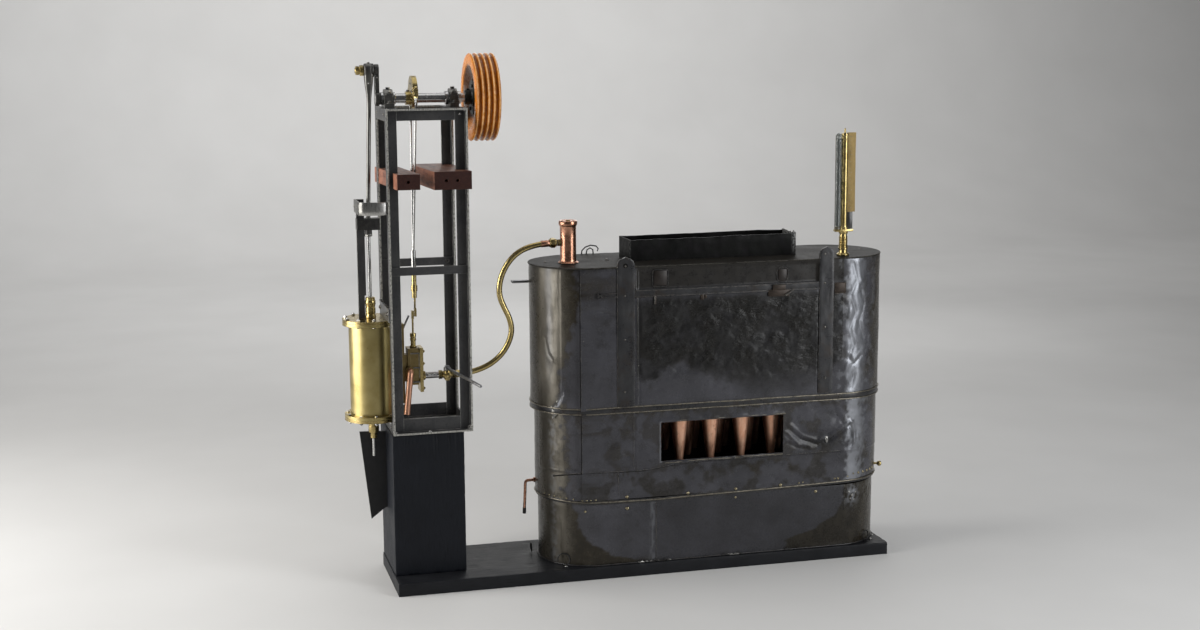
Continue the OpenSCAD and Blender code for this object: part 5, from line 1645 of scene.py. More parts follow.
# drain pipe on the left, knob on the right
g = Geo()
pts = [(210.9, 92, 125.4), (205, 92, 125.2), (200.5, 92, 125), (198.2, 92, 124.2), (197.0, 92, 122.4), (196.6, 92, 119), (196.2, 92, 108), (195.6, 92, 94), (195.0, 92, 84)]
g.tube(pts, 2.1, 16)
g.bar((211.0, 92, 125.3), (208.5, 92, 125.3), 3.6, 20)
piece("drain_pipe", g, "copper", "frame", replaces=["boiler_fittings"])
g = Geo()
g.bar((195.1, 92, 85.5), (194.8, 92, 77.0), 2.5, 16)
piece("drain_pipe_tip", g, "dark_iron", "frame")
g = Geo()
g.lathe([(0, 0), (1.6, 0), (1.6, 4.2), (2.2, 4.8), (3.5, 6.2), (4.0, 8.0), (3.6, 9.8), (2.2, 11.0), (0, 11.3)], (712.6, 49.8, 124), (0.93, -0.38, 0), 20)
piece("side_knob", g, "brass", "frame")
g = Geo()
g.box(182, 205.6, 92, 103, 408.5, 412, 0.8)
piece("side_pin", g, "grey_steel", "frame")


# ------------------------------------------------------------------ steam line
def catmull(P, n):
    out = []
    P = [Vector(p) for p in P]
    for i in range(1, len(P) - 2):
        for k in range(n):
            t = k / n
            a, b, c, d = P[i - 1:i + 3]
            out.append(0.5 * ((2 * b) + (c - a) * t + (2 * a - 5 * b + 4 * c - d) * t * t + (3 * b - a - 3 * c + d) * t ** 3))
    out.append(P[-2])
    return out


SP = [(90, 76, 288.5), (104, 76, 288.5), (118, 75.5, 290), (134, 75, 294.5), (148, 74.5, 301.5), (160, 74, 311.5), (169, 73.5, 324), (174.5, 73, 338), (175.5, 72.5, 351),
      (172, 72, 365), (165.5, 71.5, 379), (160.5, 71, 392), (159, 70.5, 405), (161.5, 70, 420), (168, 69.5, 435), (178, 69, 448), (190, 68, 457), (204, 67, 462.5), (219, 66, 465.5), (230, 66, 466.5)]
g = Geo()
g.tube(catmull(SP, 8), 4.0, 28)
piece("steam_pipe_tube", g, "pipe_brass", "frame", angle=50, replaces=["steam_pipe"])
g = Geo()
g.lathe([(0, 0), (4.4, 0), (4.7, 0.5), (4.7, 11.2), (4.4, 11.8), (0, 11.8)], (217.5, 66, 465.4), (1, 0, 0.06), 24)
g.lathe([(0, 0), (3.9, 0), (3.9, 1), (3.9, 2), (0, 2)], (229, 66, 466.0), (1, 0, 0.03), 24)
piece("steam_pipe_sleeve", g, "copper", "frame")
g = Geo()
g.hexa((231, 66, 466.4), (1, 0, 0), 7.0, 6.4, 0.2)
g.lathe([(0, 0), (5.2, 0), (5.5, 0.4), (5.5, 1.6), (5.0, 2.0), (0, 2.0)], (237.2, 66, 466.4), (1, 0, 0), 24)
g.lathe([(0, 0), (5.4, 0), (5.7, 0.4), (5.7, 1.5), (0, 1.8)], (229.2, 66, 466.3), (1, 0, 0), 24)
piece("steam_union_nut", g, "brass", "frame", angle=30)


# ------------------------------------------------------------------ engine details
SY, SZ = 76, 288.5
g = Geo()
# cock: hexagons, turned body and plug with its nut
g.hexa((73, SY, SZ), (1, 0, 0), 6.0, 5.2, 0.3)
g.lathe([(0, 0), (4.6, 0), (4.9, 0.4), (4.9, 2.2), (4.0, 2.8), (4.0, 3.2), (0, 3.2)], (78.2, SY, SZ), (1, 0, 0), 24)
g.lathe([(0, 0), (4.8, 0.0), (5.4, 1.4), (5.7, 4.0), (5.6, 7.4), (5.0, 9.8), (4.6, 11.4), (0, 11.4)], (85, SY, 282.5), (0, 0, 1), 28)
g.lathe([(0, 0), (4.3, 0), (4.5, 3), (4.0, 5), (4.0, 9), (4.4, 11), (0, 11)], (80.8, SY, SZ), (1, 0, 0), 24)
g.hexa((92, SY, SZ), (1, 0, 0), 5.5, 4.4, 0.1)
g.lathe([(0, 0), (5.0, 0), (5.3, 0.5), (5.3, 7.0), (5.0, 7.6), (0, 7.6)], (96.4, SY, SZ), (1, 0, 0), 24)
g.lathe([(0, 0), (3.0, 0), (3.6, 0.6), (3.6, 3.6), (3.0, 4.6), (2.0, 5.0), (0, 5.1)], (85, 71.2, SZ), (0, -1, 0), 22)
g.lathe([(0, 0), (3.4, 0), (3.6, 0.5), (3.4, 2.2), (0, 2.4)], (85, SY, 280.3), (0, 0, 1), 20)
piece("steam_cock_brass", g, "brass", "frame", angle=30, replaces=["steam_cock"])

g = Geo()
a = math.radians(76.4)
dx, dy = math.cos(a), -math.sin(a)
g.lathe([(0, 0), (4.3, 0), (4.8, 0.5), (4.8, 3.6), (4.2, 4.4), (2.4, 4.7), (0, 4.7)], (85, SY, 294.0), (0, 0, 1), 24)
L = 112.4
g.tube([(85 + dx * 2.5, SY + dy * 2.5, 296.7), (85 + dx * 30, SY + dy * 30, 295.5), (85 + dx * 70, SY + dy * 70, 293.7), (85 + dx * (L - 2), SY + dy * (L - 2), 291.3), (85 + dx * (L - 0.6), SY + dy * (L - 0.6), 291.2)],
       [2.1, 2.2, 2.2, 2.15, 1.7], 20)
g.hexa((85, SY, 298.2), (0, 0, 1), 3.4, 2.4)
piece("cock_lever_steel", g, "grey_steel", "cock_handle", replaces=["cock_lever"])

# inlet pipe: threaded nipple with a collar
g = Geo()
g.lathe([(0, 0), (4.25, 0), (4.25, 21), (0, 21)], (52, SY, SZ), (1, 0, 0), 28)
pts = []
for k in range(14 * 12):
    t = 2 * math.pi * k / 14
    pts.append((56.5 + k / 14 * 1.15, SY + 4.25 * math.cos(t), SZ + 4.25 * math.sin(t)))
g.tube(pts, 0.38, 5)
piece("inlet_pipe_steel", g, "bright_steel", "frame", replaces=["inlet_pipe"])
g = Geo()
g.lathe([(0, 0), (6.0, 0), (6.2, 0.4), (6.2, 2.0), (5.8, 2.4), (0, 2.4)], (52, SY, SZ), (1, 0, 0), 24)
piece("inlet_collar", g, "brass", "frame")

# valve chest: layered plates, studs and nuts
g = Geo()
for y in (78.2, 92.8):
    for z in (270.5, 288, 305, 322):
        g.hexa((52, y, z), (1, 0, 0), 2.3, 1.7, 0.2)
        g.bar((53.5, y, z), (54.8, y, z), 1.1, 10)
piece("chest_nuts", g, "brass", "frame", angle=30)
g = Geo()
for z in (280, 300, 320):
    g.bar((34.5, 75.2, z), (47.4, 75.2, z), 0.9, 10)
piece("chest_studs", g, "grey_steel", "frame")
g = Geo()
g.lathe([(0, 0), (4.4, 0), (4.7, 0.5), (4.7, 2.2), (3.5, 2.8), (3.5, 9.0), (3.9, 9.6), (4.2, 10.4), (4.2, 12.0), (3.7, 12.6), (3.7, 14.2), (4.3, 15.0), (4.3, 18.8), (3.8, 19.7), (1.6, 19.8), (0, 19.8)], (40.3, 85.5, 327), (0, 0, 1), 28)
piece("valve_gland_brass", g, "brass", "frame", angle=30, replaces=["valve_gland"])

# exhaust: flanged copper pipe with an open end
g = Geo()
g.tube([(33.2, 74.4, 297), (33.2, 70.5, 297), (33.1, 67.6, 296.0), (32.7, 66.2, 293.0), (31.9, 65.5, 287), (29.6, 64.3, 268), (26.6, 62.8, 243.0)], [3.4, 3.6, 4.2, 4.4, 4.3, 4.3, 4.35], 28, caps=False)
g.tube([(26.6, 62.8, 243.0), (26.0, 62.5, 238.0), (26.05, 62.5, 238.4), (26.3, 62.7, 241)], [4.35, 4.5, 3.6, 3.5], 28, caps=False)
piece("exhaust_pipe_copper", g, "pipe_copper", "frame", angle=45, replaces=["exhaust_pipe"])
# painted shade: a dark disc closing the bore for the shaded inside of the pipe
g = Geo()
g.lathe([(0, 0), (3.3, 0), (3.3, 0.2), (0, 0.2)], (26.4, 62.7, 241.2), (-0.1, -0.05, 1), 20)
piece("exhaust_pipe_bore_shade", g, "soot_and_shade", "frame")
g = Geo()
g.lathe([(0, 0), (5.6, 0), (5.8, 0.4), (5.8, 2.0), (5.2, 2.6), (0, 2.6)], (33.2, 74.5, 297), (0, -1, 0), 24)
piece("exhaust_collar", g, "old_brass", "frame")

# cylinder: bolts on both covers, rings at the gland
g = Geo()
YC, CX = 85.5, -17.0
for k in range(10):
    t = 2 * math.pi * (k + 0.5) / 10
    x, y = CX + 34.6 * math.cos(t), YC + 34.6 * math.sin(t)
    if x > -1 and abs(y - 78) > 44:
        continue
    if not (0.0 < x + 3 and 30 < y < 124):
        g.hexa((x, y, 371), (0, 0, 1), 2.7, 2.2, t)
        g.bar((x, y, 373), (x, y, 374.4), 1.2, 10)
    g.hexa((x, y, 363), (0, 0, -1), 2.5, 1.6, t)
    g.hexa((x, y, 239), (0, 0, 1), 2.5, 1.8, t)
    g.hexa((x, y, 231), (0, 0, -1), 2.7, 2.2, t)
    g.bar((x, y, 229), (x, y, 227.6), 1.2, 10)
piece("cylinder_bolts", g, "bright_steel", "frame", angle=30)
g = Geo()
g.lathe([(0, 0), (6.9, 0), (7.3, 0.5), (7.3, 2.2), (7.0, 3.4), (6.6, 4.4), (6.2, 5.6), (6.8, 6.4), (6.8, 14), (6.3, 14.6), (6.3, 15.6), (6.9, 16.4), (6.9, 18.6), (7.2, 19.2), (7.2, 23.4), (6.8, 24.2), (6.5, 24.6),
         (6.6, 27.4), (5.9, 28.4), (3.0, 28.6), (0, 28.6)], (CX, YC, 371), (0, 0, 1), 40)
g.lathe([(0, 0), (10.4, 0), (11.0, 0.6), (11.0, 2.0), (8.6, 3.2), (7.3, 4.2), (7.2, 9.0), (6.8, 9.5), (6.8, 10.5), (7.3, 11.0), (7.3, 18.6), (6.8, 19.5), (5.0, 20.2), (4.6, 21.0), (4.6, 27.2), (4.0, 28), (0, 28)], (CX, YC, 231), (0, 0, -1), 40)
piece("piston_gland_brass", g, "brass", "frame", angle=30, replaces=["piston_glands"])
g = Geo()
for k in range(3):
    t = 2 * math.pi * k / 3 + 0.5
    g.hexa((CX + 8.6 * math.cos(t), YC + 8.6 * math.sin(t), 228.8), (0, 0, -1), 1.9, 2.2, t)
    g.bar((CX + 8.6 * math.cos(t), YC + 8.6 * math.sin(t), 226), (CX + 8.6 * math.cos(t), YC + 8.6 * math.sin(t), 221.5), 0.8, 8)
piece("lower_gland_studs", g, "old_brass", "frame")
g = Geo()
for z0 in (362.8, 366.9, 370.6, 231.3, 235.0, 239.1):
    g.lathe([(38.45, -0.35), (38.85, -0.2), (38.95, 0), (38.85, 0.2), (38.45, 0.35), (37.8, 0), (38.45, -0.35)], (CX, YC, z0), (0, 0, 1), 72)
piece("cylinder_flange_edges", g, "brass", "frame")

# nuts and bolts of the tower
g = Geo()
FL = 42.0


def bolt(g, x, y, z, ax, r, h, washer=True):
    if washer:
        g.lathe([(0, 0), (r * 1.35, 0), (r * 1.4, 0.3), (r * 1.3, 0.6), (0, 0.6)], (x, y, z), ax, 20)
    q = Vector((x, y, z)) + Vector(ax) * 0.5
    g.hexa(q, ax, r, h, 0.3)
    q = q + Vector(ax) * h
    g.bar(q, q + Vector(ax) * 0.7, r * 0.5, 12)


g.lathe([(1.6, 0), (2.7, 0), (2.9, 0.3), (2.7, 0.7), (1.6, 0.7), (1.6, 0)], (98.5, 132.4, 438.6), (0, -1, 0), 20)
for x, z in ((104.2, 647.5),):
    g.dome((x, FL, z), (0, -1, 0), 2.0, 1.3)
for x, z in ((11.5, 647.5), (101.0, 647.5), (12, 226), (100, 226)):
    g.dome((x, 135.0, z), (0, -1, 0), 1.6, 1.0)
    g.dome((x, 137.5, z), (0, 1, 0), 2.0, 1.3)
for x in (11.5, 103.2):
    bolt(g, x, 137.5, 438.6, (0, 1, 0), 3.0, 2.0)
for y in (52, 118):
    for z in (647.5, 224):
        g.dome((3.0, y, z), (-1, 0, 0), 2.0, 1.3)
        g.dome((112.0 - 2.8 * (y - 44.5) / 80.5, y, z), (1, 0, 0), 2.0, 1.3)
piece("tower_bolts", g, "stud", "frame", angle=30)
g = Geo()
g.dome((53.5, 37.0, 218.6), (0, -0.6, 1), 2.4, 1.6)
g.bar((103.6, 41.6, 647), (103.6, 40.2, 647), 1.7, 12)
piece("tower_bright_nails", g, "bright_steel", "frame")
g = Geo()
for i, (x, y, z, r) in enumerate(((108.5, 36, 219, 3.4), (106, 40, 216.8, 2.6), (110, 34, 224, 2.4), (109, 41, 221, 2.4), (5.5, 36, 217.6, 2.4), (8, 40.5, 217.5, 2.2),
                                  (5.2, 36, 653.6, 2.2), (108.8, 36, 653.4, 2.2), (5.5, 130, 217.5, 2.4), (108.5, 130, 217.5, 2.6), (108.8, 130, 653.4, 2.2), (5.4, 130, 653.4, 2.2))):
    g.blob((x, y, z), r, (1, 1, 0.9), 60 + i, 0.5)
piece("tower_corner_solder", g, "solder", "frame")
g = Geo()
for k, y in enumerate((52, 66, 104, 118)):
    g.hexa((1.75, y, 389), (0, 0, 1), 2.2, 1.6, 0.2)
for y in (44, 112):
    bolt(g, 0.5, y, 381, (-1, 0, 0), 2.6, 1.6)
piece("bracket_bolts", g, "stud", "frame", angle=30)

# bearings: cap bolts and oil cups
g = Geo()
for x in (14.0, 101.5):
    for y in (71.6, 99.4):
        bolt(g, x, y, 661, (0, 0, 1), 2.6, 2.3)
    for y in (73.6, 97.4):
        g.bar((x, y, 673), (x, y, 678.4), 1.4, 12)
        g.hexa((x, y, 674.0), (0, 0, 1), 2.7, 2.4, 0.4)
    g.lathe([(0, 0), (2.6, 0), (2.8, 0.4), (2.8, 2.6), (1.6, 2.6), (1.5, 1.0), (0, 1.0)], (x, 85.5, 679.2), (0, 0, 1), 20)
piece("bearing_bolts", g, "forged_steel", "frame", angle=30)

# eccentric: bolts through the strap's ears, screw in the hub
g = Geo()
for s in (-1, 1):
    y = 85.5 + s * 24.4
    g.hexa((48, y, 680), (0, 0, 1), 2.8, 2.0, 0.3)
    g.hexa((48, y, 669.9), (0, 0, -1), 2.8, 2.2, 0.3)
    g.bar((48, y, 682), (48, y, 683.4), 1.2, 10)
piece("eccentric_nuts", g, "brass", "eccentric_rod", angle=30)
g = Geo()
for k in range(6):
    t = 2 * math.pi * k / 6
    g.dome((44.5, 85.5 + 13.2 * math.cos(t), 675 + 13.2 * math.sin(t)), (-1, 0, 0), 1.3, 0.8)
g.hexa((41.0, 85.5, 675.8), (0, 0, 1), 2.2, 2.4)
piece("eccentric_screws", g, "grey_steel", "shaft", angle=30)

# crank: set screws and the nuts on the pin end
g = Geo()
g.dome((-0.6, 78.5, 673), (0, -1, 0), 1.6, 1.0)
g.dome((-0.6, 78.5, 695), (0, -1, 0), 1.3, 0.8)
piece("crank_screws", g, "forged_steel", "shaft")
g = Geo()
g.hexa((-23.0, 85.5, 704.5), (1, 0, 0), 7.2, 5.5, 0.35)
g.lathe([(0, 0), (4.6, 0), (5.0, 0.4), (5.0, 1.0), (0, 1.0)], (-23.9, 85.5, 704.5), (1, 0, 0), 26)
g.hexa((-28.4, 85.5, 704.5), (1, 0, 0), 6.6, 4.6, 0.05)
g.lathe([(0, 0), (3.0, 0), (3.4, 0.5), (3.4, 1.2), (0, 1.2)], (-29.4, 85.5, 704.5), (1, 0, 0), 20)
piece("crank_pin_nut", g, "brass", "conrod", angle=30, replaces=["crank_pin"])


# connecting rod: forged head flowing into a round rod that leans towards the crank
def sdf_rod():
    g = Geo()
    n = 32
    bx, pz = -11.2, 704.5
    secs = [(506.0, 2.9, 2.9), (560, 2.9, 2.9), (630, 2.9, 2.9), (660, 3.0, 3.0), (668, 3.2, 3.3), (676, 4.0, 4.2), (684, 5.0, 5.5), (690, 5.6, 6.7), (695, 5.9, 7.8), (700, 6.0, 8.4), (704.5, 6.0, 8.6), (708.5, 5.8, 8.0), (711.4, 5.2, 6.6), (713.2, 3.9, 4.4), (713.9, 1.8, 2.0)]
    verts, faces = [], []
    for i, (z, hx, hy) in enumerate(secs):
        f = sstep(664, 692, z)
        c = -17 + (bx + 17) * min(1.0, (z - 501.0) / (668.5 - 501.0))
        p = 2 + 2.2 * f
        for k in range(n):
            t = 2 * math.pi * k / n
            ct, st = math.cos(t), math.sin(t)
            x = hx * math.copysign(abs(ct) ** (2 / p), ct)
            y = hy * math.copysign(abs(st) ** (2 / p), st)
            w = 0.25 * f * frac(t * 2, z / 9, 3.0, 2)
            verts.append((c + x * (1 + 0.03 * w), YC + y * (1 + 0.03 * w), z))
    m = len(secs)
    for i in range(m - 1):
        for k in range(n):
            j = (k + 1) % n
            faces.append((i * n + k, i * n + j, (i + 1) * n + j, (i + 1) * n + k))
    faces.append(tuple(reversed(range(n))))
    faces.append(tuple(range((m - 1) * n, m * n)))
    g.add(verts, faces)
    # eye at the crosshead
    g.lathe([(0, 0), (4.6, 0), (5.2, 0.6), (5.2, 5.4), (4.6, 6.0), (0, 6.0)], (-20, YC, 501), (1, 0, 0), 28)
    piece("connecting_rod_forged", g, "rod_dark", "conrod", angle=40, replaces=["connecting_rod"])
    # boss plates on both sides of the big end
    g = Geo()
    g.lathe([(0, 0), (7.6, 0), (8.6, 0.5), (9.2, 1.2), (9.2, 3.4), (8.6, 4.0), (0, 4.0)], (-17.4, YC, pz), (1, 0, 0), 40)
    g.lathe([(0, 0), (8.5, 0), (9.2, 0.6), (9.2, 4.0), (8.7, 4.8), (7.8, 5.2), (0, 5.2)], (-9.2, YC, pz), (1, 0, 0), 40)
    for s_ in (-1, 1):
        g.bar((bx, YC + s_ * 5.4, 693.5), (bx, YC + s_ * 5.4, 688.0), 1.3, 10)
        g.hexa((bx, YC + s_ * 6.0, 688.5), (0, 0, -1), 2.2, 1.8, 0.3)
    piece("connecting_rod_head", g, "crank_iron", "conrod", angle=35)


sdf_rod()
g = Geo()
g.lathe([(0, 0), (1.8, 0), (2.0, 0.3), (2.0, 2.2), (1.2, 2.4), (0, 2.4)], (-11.2, YC, 713.2), (0, 0, 1), 18)
piece("conrod_oil_cup", g, "forged_steel", "conrod")


# pulley: lathe-turned with four rounded grooves and a dished face
def pulley():
    (x0, _, _), (x1, _, _) = nbox("pulley")
    R, wd = 59.3, x1 - x0
    prof = [(6.6, 8.0), (26.0, 8.0), (29.0, 7.8), (33.0, 6.4), (38.5, 3.6), (42.5, 1.2), (43.8, 0.35), (45.0, 0.0), (56.6, 0.0), (57.7, 0.3), (58.5, 0.9)]
    n = 120
    for k in range(n + 1):
        h = 1.4 + (wd - 2.8) * k / n
        ph = (h - 1.9) / (wd - 3.8) * 4
        if 0 <= ph <= 4:
            c = 0.5 - 0.5 * math.cos(2 * math.pi * ph)
            r = R - 3.6 * sstep(0.02, 0.98, c) ** 0.8
        else:
            r = R - 0.4
        prof.append((r, h))
    prof += [(58.5, wd - 0.9), (57.7, wd - 0.3), (56.6, wd), (45.0, wd), (43.8, wd - 0.35), (38.5, wd - 3.6), (33, wd - 6.4), (29, wd - 7.8), (26, wd - 8.0), (6.6, wd - 8.0)]
    g = Geo()
    g.lathe(prof, (x0, YC, 667.0), (1, 0, 0), 160)
    piece("pulley_wood", g, "varnished_wood", "shaft", angle=60, replaces=["pulley"])
    g = Geo()
    g.lathe([(6.6, 0), (22.6, 0), (23.6, 0.4), (24.0, 1.2), (24.0, 3.2), (23.4, 3.9), (6.6, 3.9)], (127.5, YC, 667.0), (1, 0, 0), 72)
    g.lathe([(6.6, 0), (9.2, 0), (10.0, 0.7), (10.0, 8.2), (11.8, 9.6), (6.6, 9.6)], (118, YC, 667.0), (1, 0, 0), 44)
    for k in range(4):
        t = 2 * math.pi * k / 4 + 0.5
        g.hexa((127.4, YC + 17.5 * math.cos(t), 667.0 + 17.5 * math.sin(t)), (-1, 0, 0), 2.8, 1.9, t)
    g.bar((122, YC, 676.2), (122, YC, 678.8), 1.8, 12)
    g.lathe([(6.6, 0), (11.0, 0), (11.6, 0.5), (11.6, 1.6), (6.6, 2.2)], (x1 - 8.2, YC, 667.0), (1, 0, 0), 40)
    piece("pulley_hub_iron", g, "hub_iron", "shaft", angle=35, replaces=["pulley_hub"])


pulley()

# shaft end and collars
g = Geo()
g.lathe([(0, 0), (3.6, 0), (4.0, 0.4), (4.0, 1.0), (6.2, 1.4), (6.4, 1.8), (0, 1.8)], (161.5, YC, 667.0), (1, 0, 0), 24)
g.lathe([(6.55, 0), (7.8, 0), (8.3, 0.4), (8.3, 2.6), (7.8, 3.0), (6.55, 3.0), (6.55, 0)], (20.7, YC, 667.0), (1, 0, 0), 36)
g.lathe([(6.55, 0), (8.6, 0), (9.1, 0.4), (9.1, 3.8), (8.6, 4.2), (6.55, 4.2), (6.55, 0)], (91.0, YC, 667.0), (1, 0, 0), 36)
piece("shaft_collars", g, "bright_steel", "shaft", angle=30)

# crosshead: screw heads, a nut and a washer under it
g = Geo()
for s in (-1, 1):
    g.dome((-2.2, YC + s * 4.4, 499), (1, 0, 0), 1.4, 0.9)
g.hexa((-17, YC, 485.6), (0, 0, -1), 5.6, 3.2, 0.3)
g.lathe([(0, 0), (5.0, 0), (5.4, 0.5), (5.4, 1.5), (0, 1.6)], (-17, YC, 486.2), (0, 0, -1), 24)
piece("crosshead_fixings", g, "forged_steel", "piston_set", angle=30)

# strap: dark arm along the bar, bright bowed band across to the post
def band(name, outer, inner, mat, replaces=()):
    g = Geo()
    n = len(outer)
    rows = [(515.5, 0.35), (515.9, 0.0), (521.0, -0.25), (527.5, -0.25), (532.6, 0.0), (533.0, 0.35)]
    vs, fs = [], []
    for z, k in rows:
        for (ax, ay), (bx_, by_) in zip(outer, inner):
            vs.append((ax + (bx_ - ax) * k / 2, ay + (by_ - ay) * k / 2, z))
    m = len(rows)
    for j in range(m - 1):
        for i in range(n - 1):
            fs.append((j * n + i, j * n + i + 1, (j + 1) * n + i + 1, (j + 1) * n + i))
    k0 = len(vs)
    for z, k in rows:
        for (ax, ay), (bx_, by_) in zip(outer, inner):
            vs.append((bx_, by_, z))
    for j in range(m - 1):
        for i in range(n - 1):
            fs.append((k0 + j * n + i, k0 + (j + 1) * n + i, k0 + (j + 1) * n + i + 1, k0 + j * n + i + 1))
    for j, flip in ((0, 1), (m - 1, 0)):
        for i in range(n - 1):
            f = (j * n + i, j * n + i + 1, k0 + j * n + i + 1, k0 + j * n + i)
            fs.append(tuple(reversed(f)) if flip else f)
    for i, flip in ((0, 0), (n - 1, 1)):
        for j in range(m - 1):
            f = (j * n + i, (j + 1) * n + i, k0 + (j + 1) * n + i, k0 + j * n + i)
            fs.append(tuple(reversed(f)) if flip else f)
    g.add(vs, fs)
    piece(name, g, mat, "frame", angle=40, replaces=replaces)


arc = [(-25 - 10 * math.sin(a), 46 - 10 * math.cos(a)) for a in [math.pi / 2 * (1 - i / 8) for i in range(9)]]
arc_i = [(-25 - 8 * math.sin(a), 46 - 8 * math.cos(a)) for a in [math.pi / 2 * (1 - i / 8) for i in range(9)]]
band("guide_strap_arm", [(-35, 90), (-35, 68)] + arc[:6], [(-33, 90), (-33, 68)] + arc_i[:6], "forged_steel", ["guide_strap"])
front = [(-25 + 28 * i / 14, 36 - 2.6 * math.sin(math.pi * i / 14) ** 0.8) for i in range(15)]
front_i = [(x, y + 2.0) for x, y in front]
band("guide_strap_band", arc[5:8] + front, arc_i[5:8] + front_i, "strap_steel")

# strap screws at the guide bar and the post
g = Geo()
g.dome((-35.0, 85.5, 524), (-1, 0, 0), 2.1, 1.3)
g.dome((-35.0, 62, 524), (-1, 0, 0), 1.9, 1.1)
piece("guide_strap_screws", g, "forged_steel", "frame")


# ------------------------------------------------------------------ water gauge
def gauge():
    gx, gy = 649.0, 26.0
    g = Geo()
    g.lathe([(0, 0), (8.6, 0), (9.0, 0.6), (9.0, 2.0), (7.6, 3.2), (6.4, 4.0), (6.0, 5.0), (6.0, 8.6), (6.8, 9.2), (6.8, 11.2), (5.8, 12.0)] +
            sum([[(5.8, 12.0 + 2.2 * k), (6.3, 12.6 + 2.2 * k), (6.3, 13.2 + 2.2 * k), (5.6, 13.9 + 2.2 * k)] for k in range(7)], []) +
            [(5.2, 28.6), (5.2, 30.6), (6.4, 31.4), (6.6, 33.4), (5.8, 34.4), (0, 34.4)], (gx - 1, gy, 438.2), (0, 0, 1), 36)
    g.box(634.5, 661.5, gy - 4.6, gy + 4.6, 472.2, 475.6, 0.7)
    g.lathe([(0, 0), (6.2, 0), (6.6, 0.5), (6.6, 2.6), (5.8, 3.2), (5.2, 5.0), (4.8, 6.0), (0, 6.0)], (648.2, gy, 475.5), (0, 0, 1), 32)
    g.lathe([(0, 0), (4.7, 0), (4.7, 126), (0, 126)], (648.2, gy, 480), (0, 0, 1), 36)
    g.lathe([(0, 0), (4.8, 0), (5.0, 0.6), (5.0, 1.8), (4.6, 2.4), (4.6, 5.6), (5.0, 6.2), (5.0, 8.6), (4.6, 9.4), (2.4, 9.8), (1.2, 10.4), (1.1, 15.6), (0.5, 16.6), (0, 16.8)], (648.2, gy, 601.4), (0, 0, 1), 32)
    piece("gauge_brass", g, "brass", "frame", angle=30, replaces=["water_gauge"])
    g = Geo()
    # scale plate, slightly sprung at its free edge
    vs, fs = [], []
    n, m = 6, 40
    for j in range(m + 1):
        z = 500 + 112 * j / m
        for i in range(n + 1):
            x = 650.5 + (664 - 650.5 + (0.7 * frac(z / 40, 1.0, 1.0, 2) if i == n else 0)) * i / n
            b = 0.9 * (i / n) ** 2 + 0.3 * frac(x / 9, z / 30, 1.0, 2)
            vs.append((x, gy - 3.0 + b, z))
    k0 = len(vs)
    vs += [(x, y + 0.9, z) for x, y, z in vs]
    for j in range(m):
        for i in range(n):
            a = j * (n + 1) + i
            fs += [(a, a + 1, a + n + 2, a + n + 1), (k0 + a, k0 + a + n + 1, k0 + a + n + 2, k0 + a + 1)]
    for j in range(m):
        for i in (0, n):
            a = j * (n + 1) + i
            fs.append((a, a + n + 1, k0 + a + n + 1, k0 + a))
    for i in range(n):
        for j in (0, m):
            a = j * (n + 1) + i
            fs.append((a, a + 1, k0 + a + 1, k0 + a))
    g.add(vs, fs)
    piece("gauge_scale", g, "plate_brass", "frame", angle=40)
    g = Geo()
    for k in range(21):
        z = 506 + 5 * k
        w = 4.2 if k % 5 == 0 else 2.4
        g.box(654.2, 654.2 + w, gy - 3.25, gy - 2.7, z - 0.22, z + 0.22, 0.08, 1)
    piece("gauge_ticks", g, "dark_iron", "frame")
    # dark back plate beside the tube and the wire frame round the glass
    g = Geo()
    g.box(653.6, 661.2, gy - 1.4, gy + 1.6, 476, 500.5, 0.4)
    piece("gauge_back_plate", g, "gauge_back", "frame")
    g = Geo()
    g.tube([(640, gy, 607.5), (637.0, gy, 608.4), (635.0, gy, 606.6), (634.6, gy, 603.5), (634.6, gy, 560), (634.8, gy, 500), (634.8, gy, 481), (635.6, gy, 477.8), (638.0, gy, 476.2), (641, gy, 476)], 0.62, 8)
    g.tube([(661.0, gy, 499), (661.0, gy, 480), (660.0, gy, 477), (657, gy, 476)], 0.55, 8)
    piece("gauge_frame_wire", g, "stud", "frame")
    g = Geo()
    g.lathe([(0, 0), (3.9, 0), (4.3, 0.6), (4.3, 3.8), (3.8, 4.4), (0, 4.4)], (638.8, gy, 475.4), (0, 0, 1), 24)
    piece("gauge_glass_foot", g, "old_brass", "frame")
    g = Geo()
    g.lathe([(0, 0), (2.4, 0), (2.4, 122), (0, 122)], (639.1, gy + 0.6, 481), (0, 0, 1), 20)
    piece("gauge_core", g, "gauge_back", "frame")


gauge()


# ------------------------------------------------------------------ floor, light and camera
me = bpy.data.meshes.new("floor")
vs, fs = [], []
prof = [(-4.0, 0.0), (3.2, 0.0)]
for k in range(1, 13):
    a = math.pi / 2 * k / 12
    prof.append((3.2 + 1.2 * math.sin(a), 1.2 - 1.2 * math.cos(a)))
prof.append((4.4, 4.5))
for y, z in prof:
    vs += [(-9.0, y, z), (9.0, y, z)]
for i in range(len(prof) - 1):
    fs.append((2 * i, 2 * i + 1, 2 * i + 3, 2 * i + 2))
me.from_pydata(vs, [], fs)
me.polygons.foreach_set("use_smooth", [True] * len(me.polygons))
floor = bpy.data.objects.new("floor", me)
bpy.context.scene.collection.objects.link(floor)
me.materials.append(MATS["floor"])


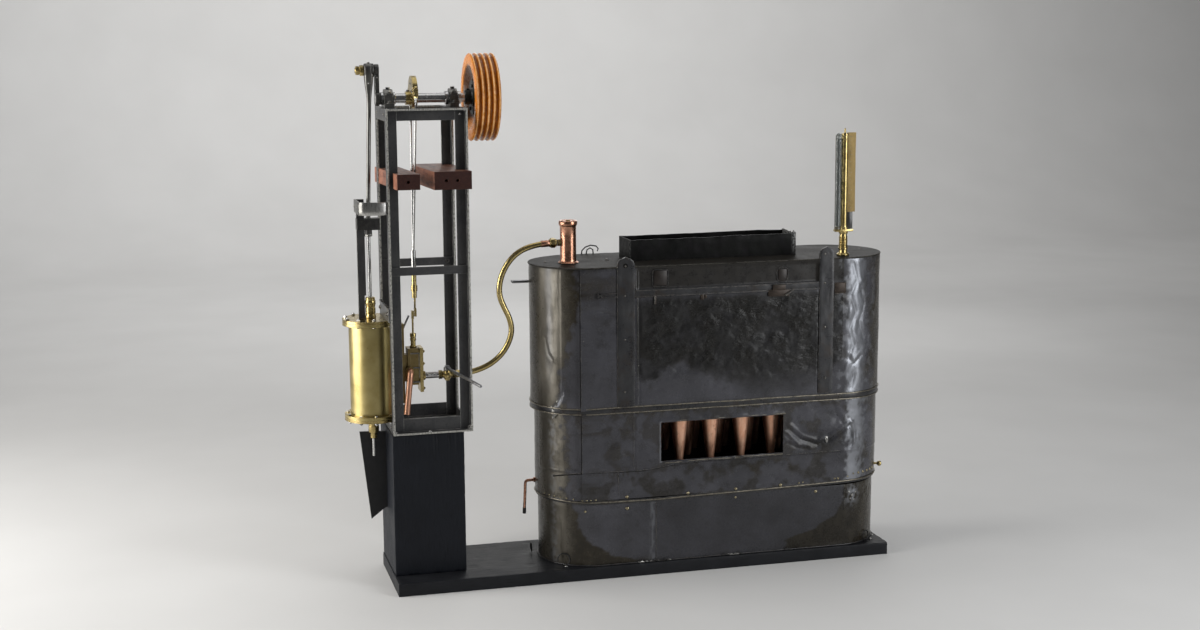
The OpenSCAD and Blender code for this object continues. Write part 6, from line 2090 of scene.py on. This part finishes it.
def area(name, loc, target, sx, sy, power, color=(1, 1, 1), spread=180):
    l = bpy.data.lights.new(name, "AREA")
    l.shape = "RECTANGLE"
    l.size, l.size_y = sx, sy
    l.energy = power
    l.color = color
    l.spread = math.radians(spread)
    ob = bpy.data.objects.new(name, l)
    bpy.context.scene.collection.objects.link(ob)
    ob.location = loc
    ob.rotation_euler = (Vector(target) - Vector(loc)).to_track_quat("-Z", "Y").to_euler()
    ob.visible_camera = False
    return ob


area("softbox_left", (-1.75, 0.05, 0.75), (0.0, 0.02, 0.35), 1.3, 1.5, 42, (1.0, 0.985, 0.96))
area("softbox_right", (1.25, -1.35, 0.85), (0.15, 0.0, 0.3), 0.75, 1.5, 20, (0.97, 0.985, 1.0))
area("softbox_top", (0.1, 0.2, 2.3), (0.0, 0.0, 0.2), 2.4, 1.8, 14, (1, 1, 1))
area("softbox_back", (0.9, 1.9, 1.2), (0.0, 0.0, 0.3), 1.6, 1.0, 8, (1, 1, 1))
area("backdrop_wash", (0.2, 1.6, 2.9), (0.2, 4.4, 1.2), 4.0, 1.0, 70, (1, 1, 1), 140)

world = bpy.data.worlds.new("studio")
bpy.context.scene.world = world
world.use_nodes = True
world.node_tree.nodes["Background"].inputs[0].default_value = (0.78, 0.79, 0.81, 1)
world.node_tree.nodes["Background"].inputs[1].default_value = 0.12

cam_data = bpy.data.cameras.new("camera")
cam = bpy.data.objects.new("camera", cam_data)
bpy.context.scene.collection.objects.link(cam)
cam_data.sensor_width = 36
cam_data.lens = 51.96
cam_data.clip_end = 50
yaw, pitch, roll = math.radians(-14.91), math.radians(9.422), math.radians(-0.324)
fwd = Vector((-math.sin(yaw) * math.cos(pitch), math.cos(yaw) * math.cos(pitch), -math.sin(pitch)))
right = Vector((math.cos(yaw), math.sin(yaw), 0))
upv = right.cross(fwd)
r = right * math.cos(roll) + upv * math.sin(roll)
u = -right * math.sin(roll) + upv * math.cos(roll)
cam.matrix_world = Matrix.Translation(W(-314.0016, -2244.1023, 759.0495)) @ Matrix((r, u, -fwd)).transposed().to_4x4()
bpy.context.scene.camera = cam
bpy.context.scene.view_settings.view_transform = "Standard"
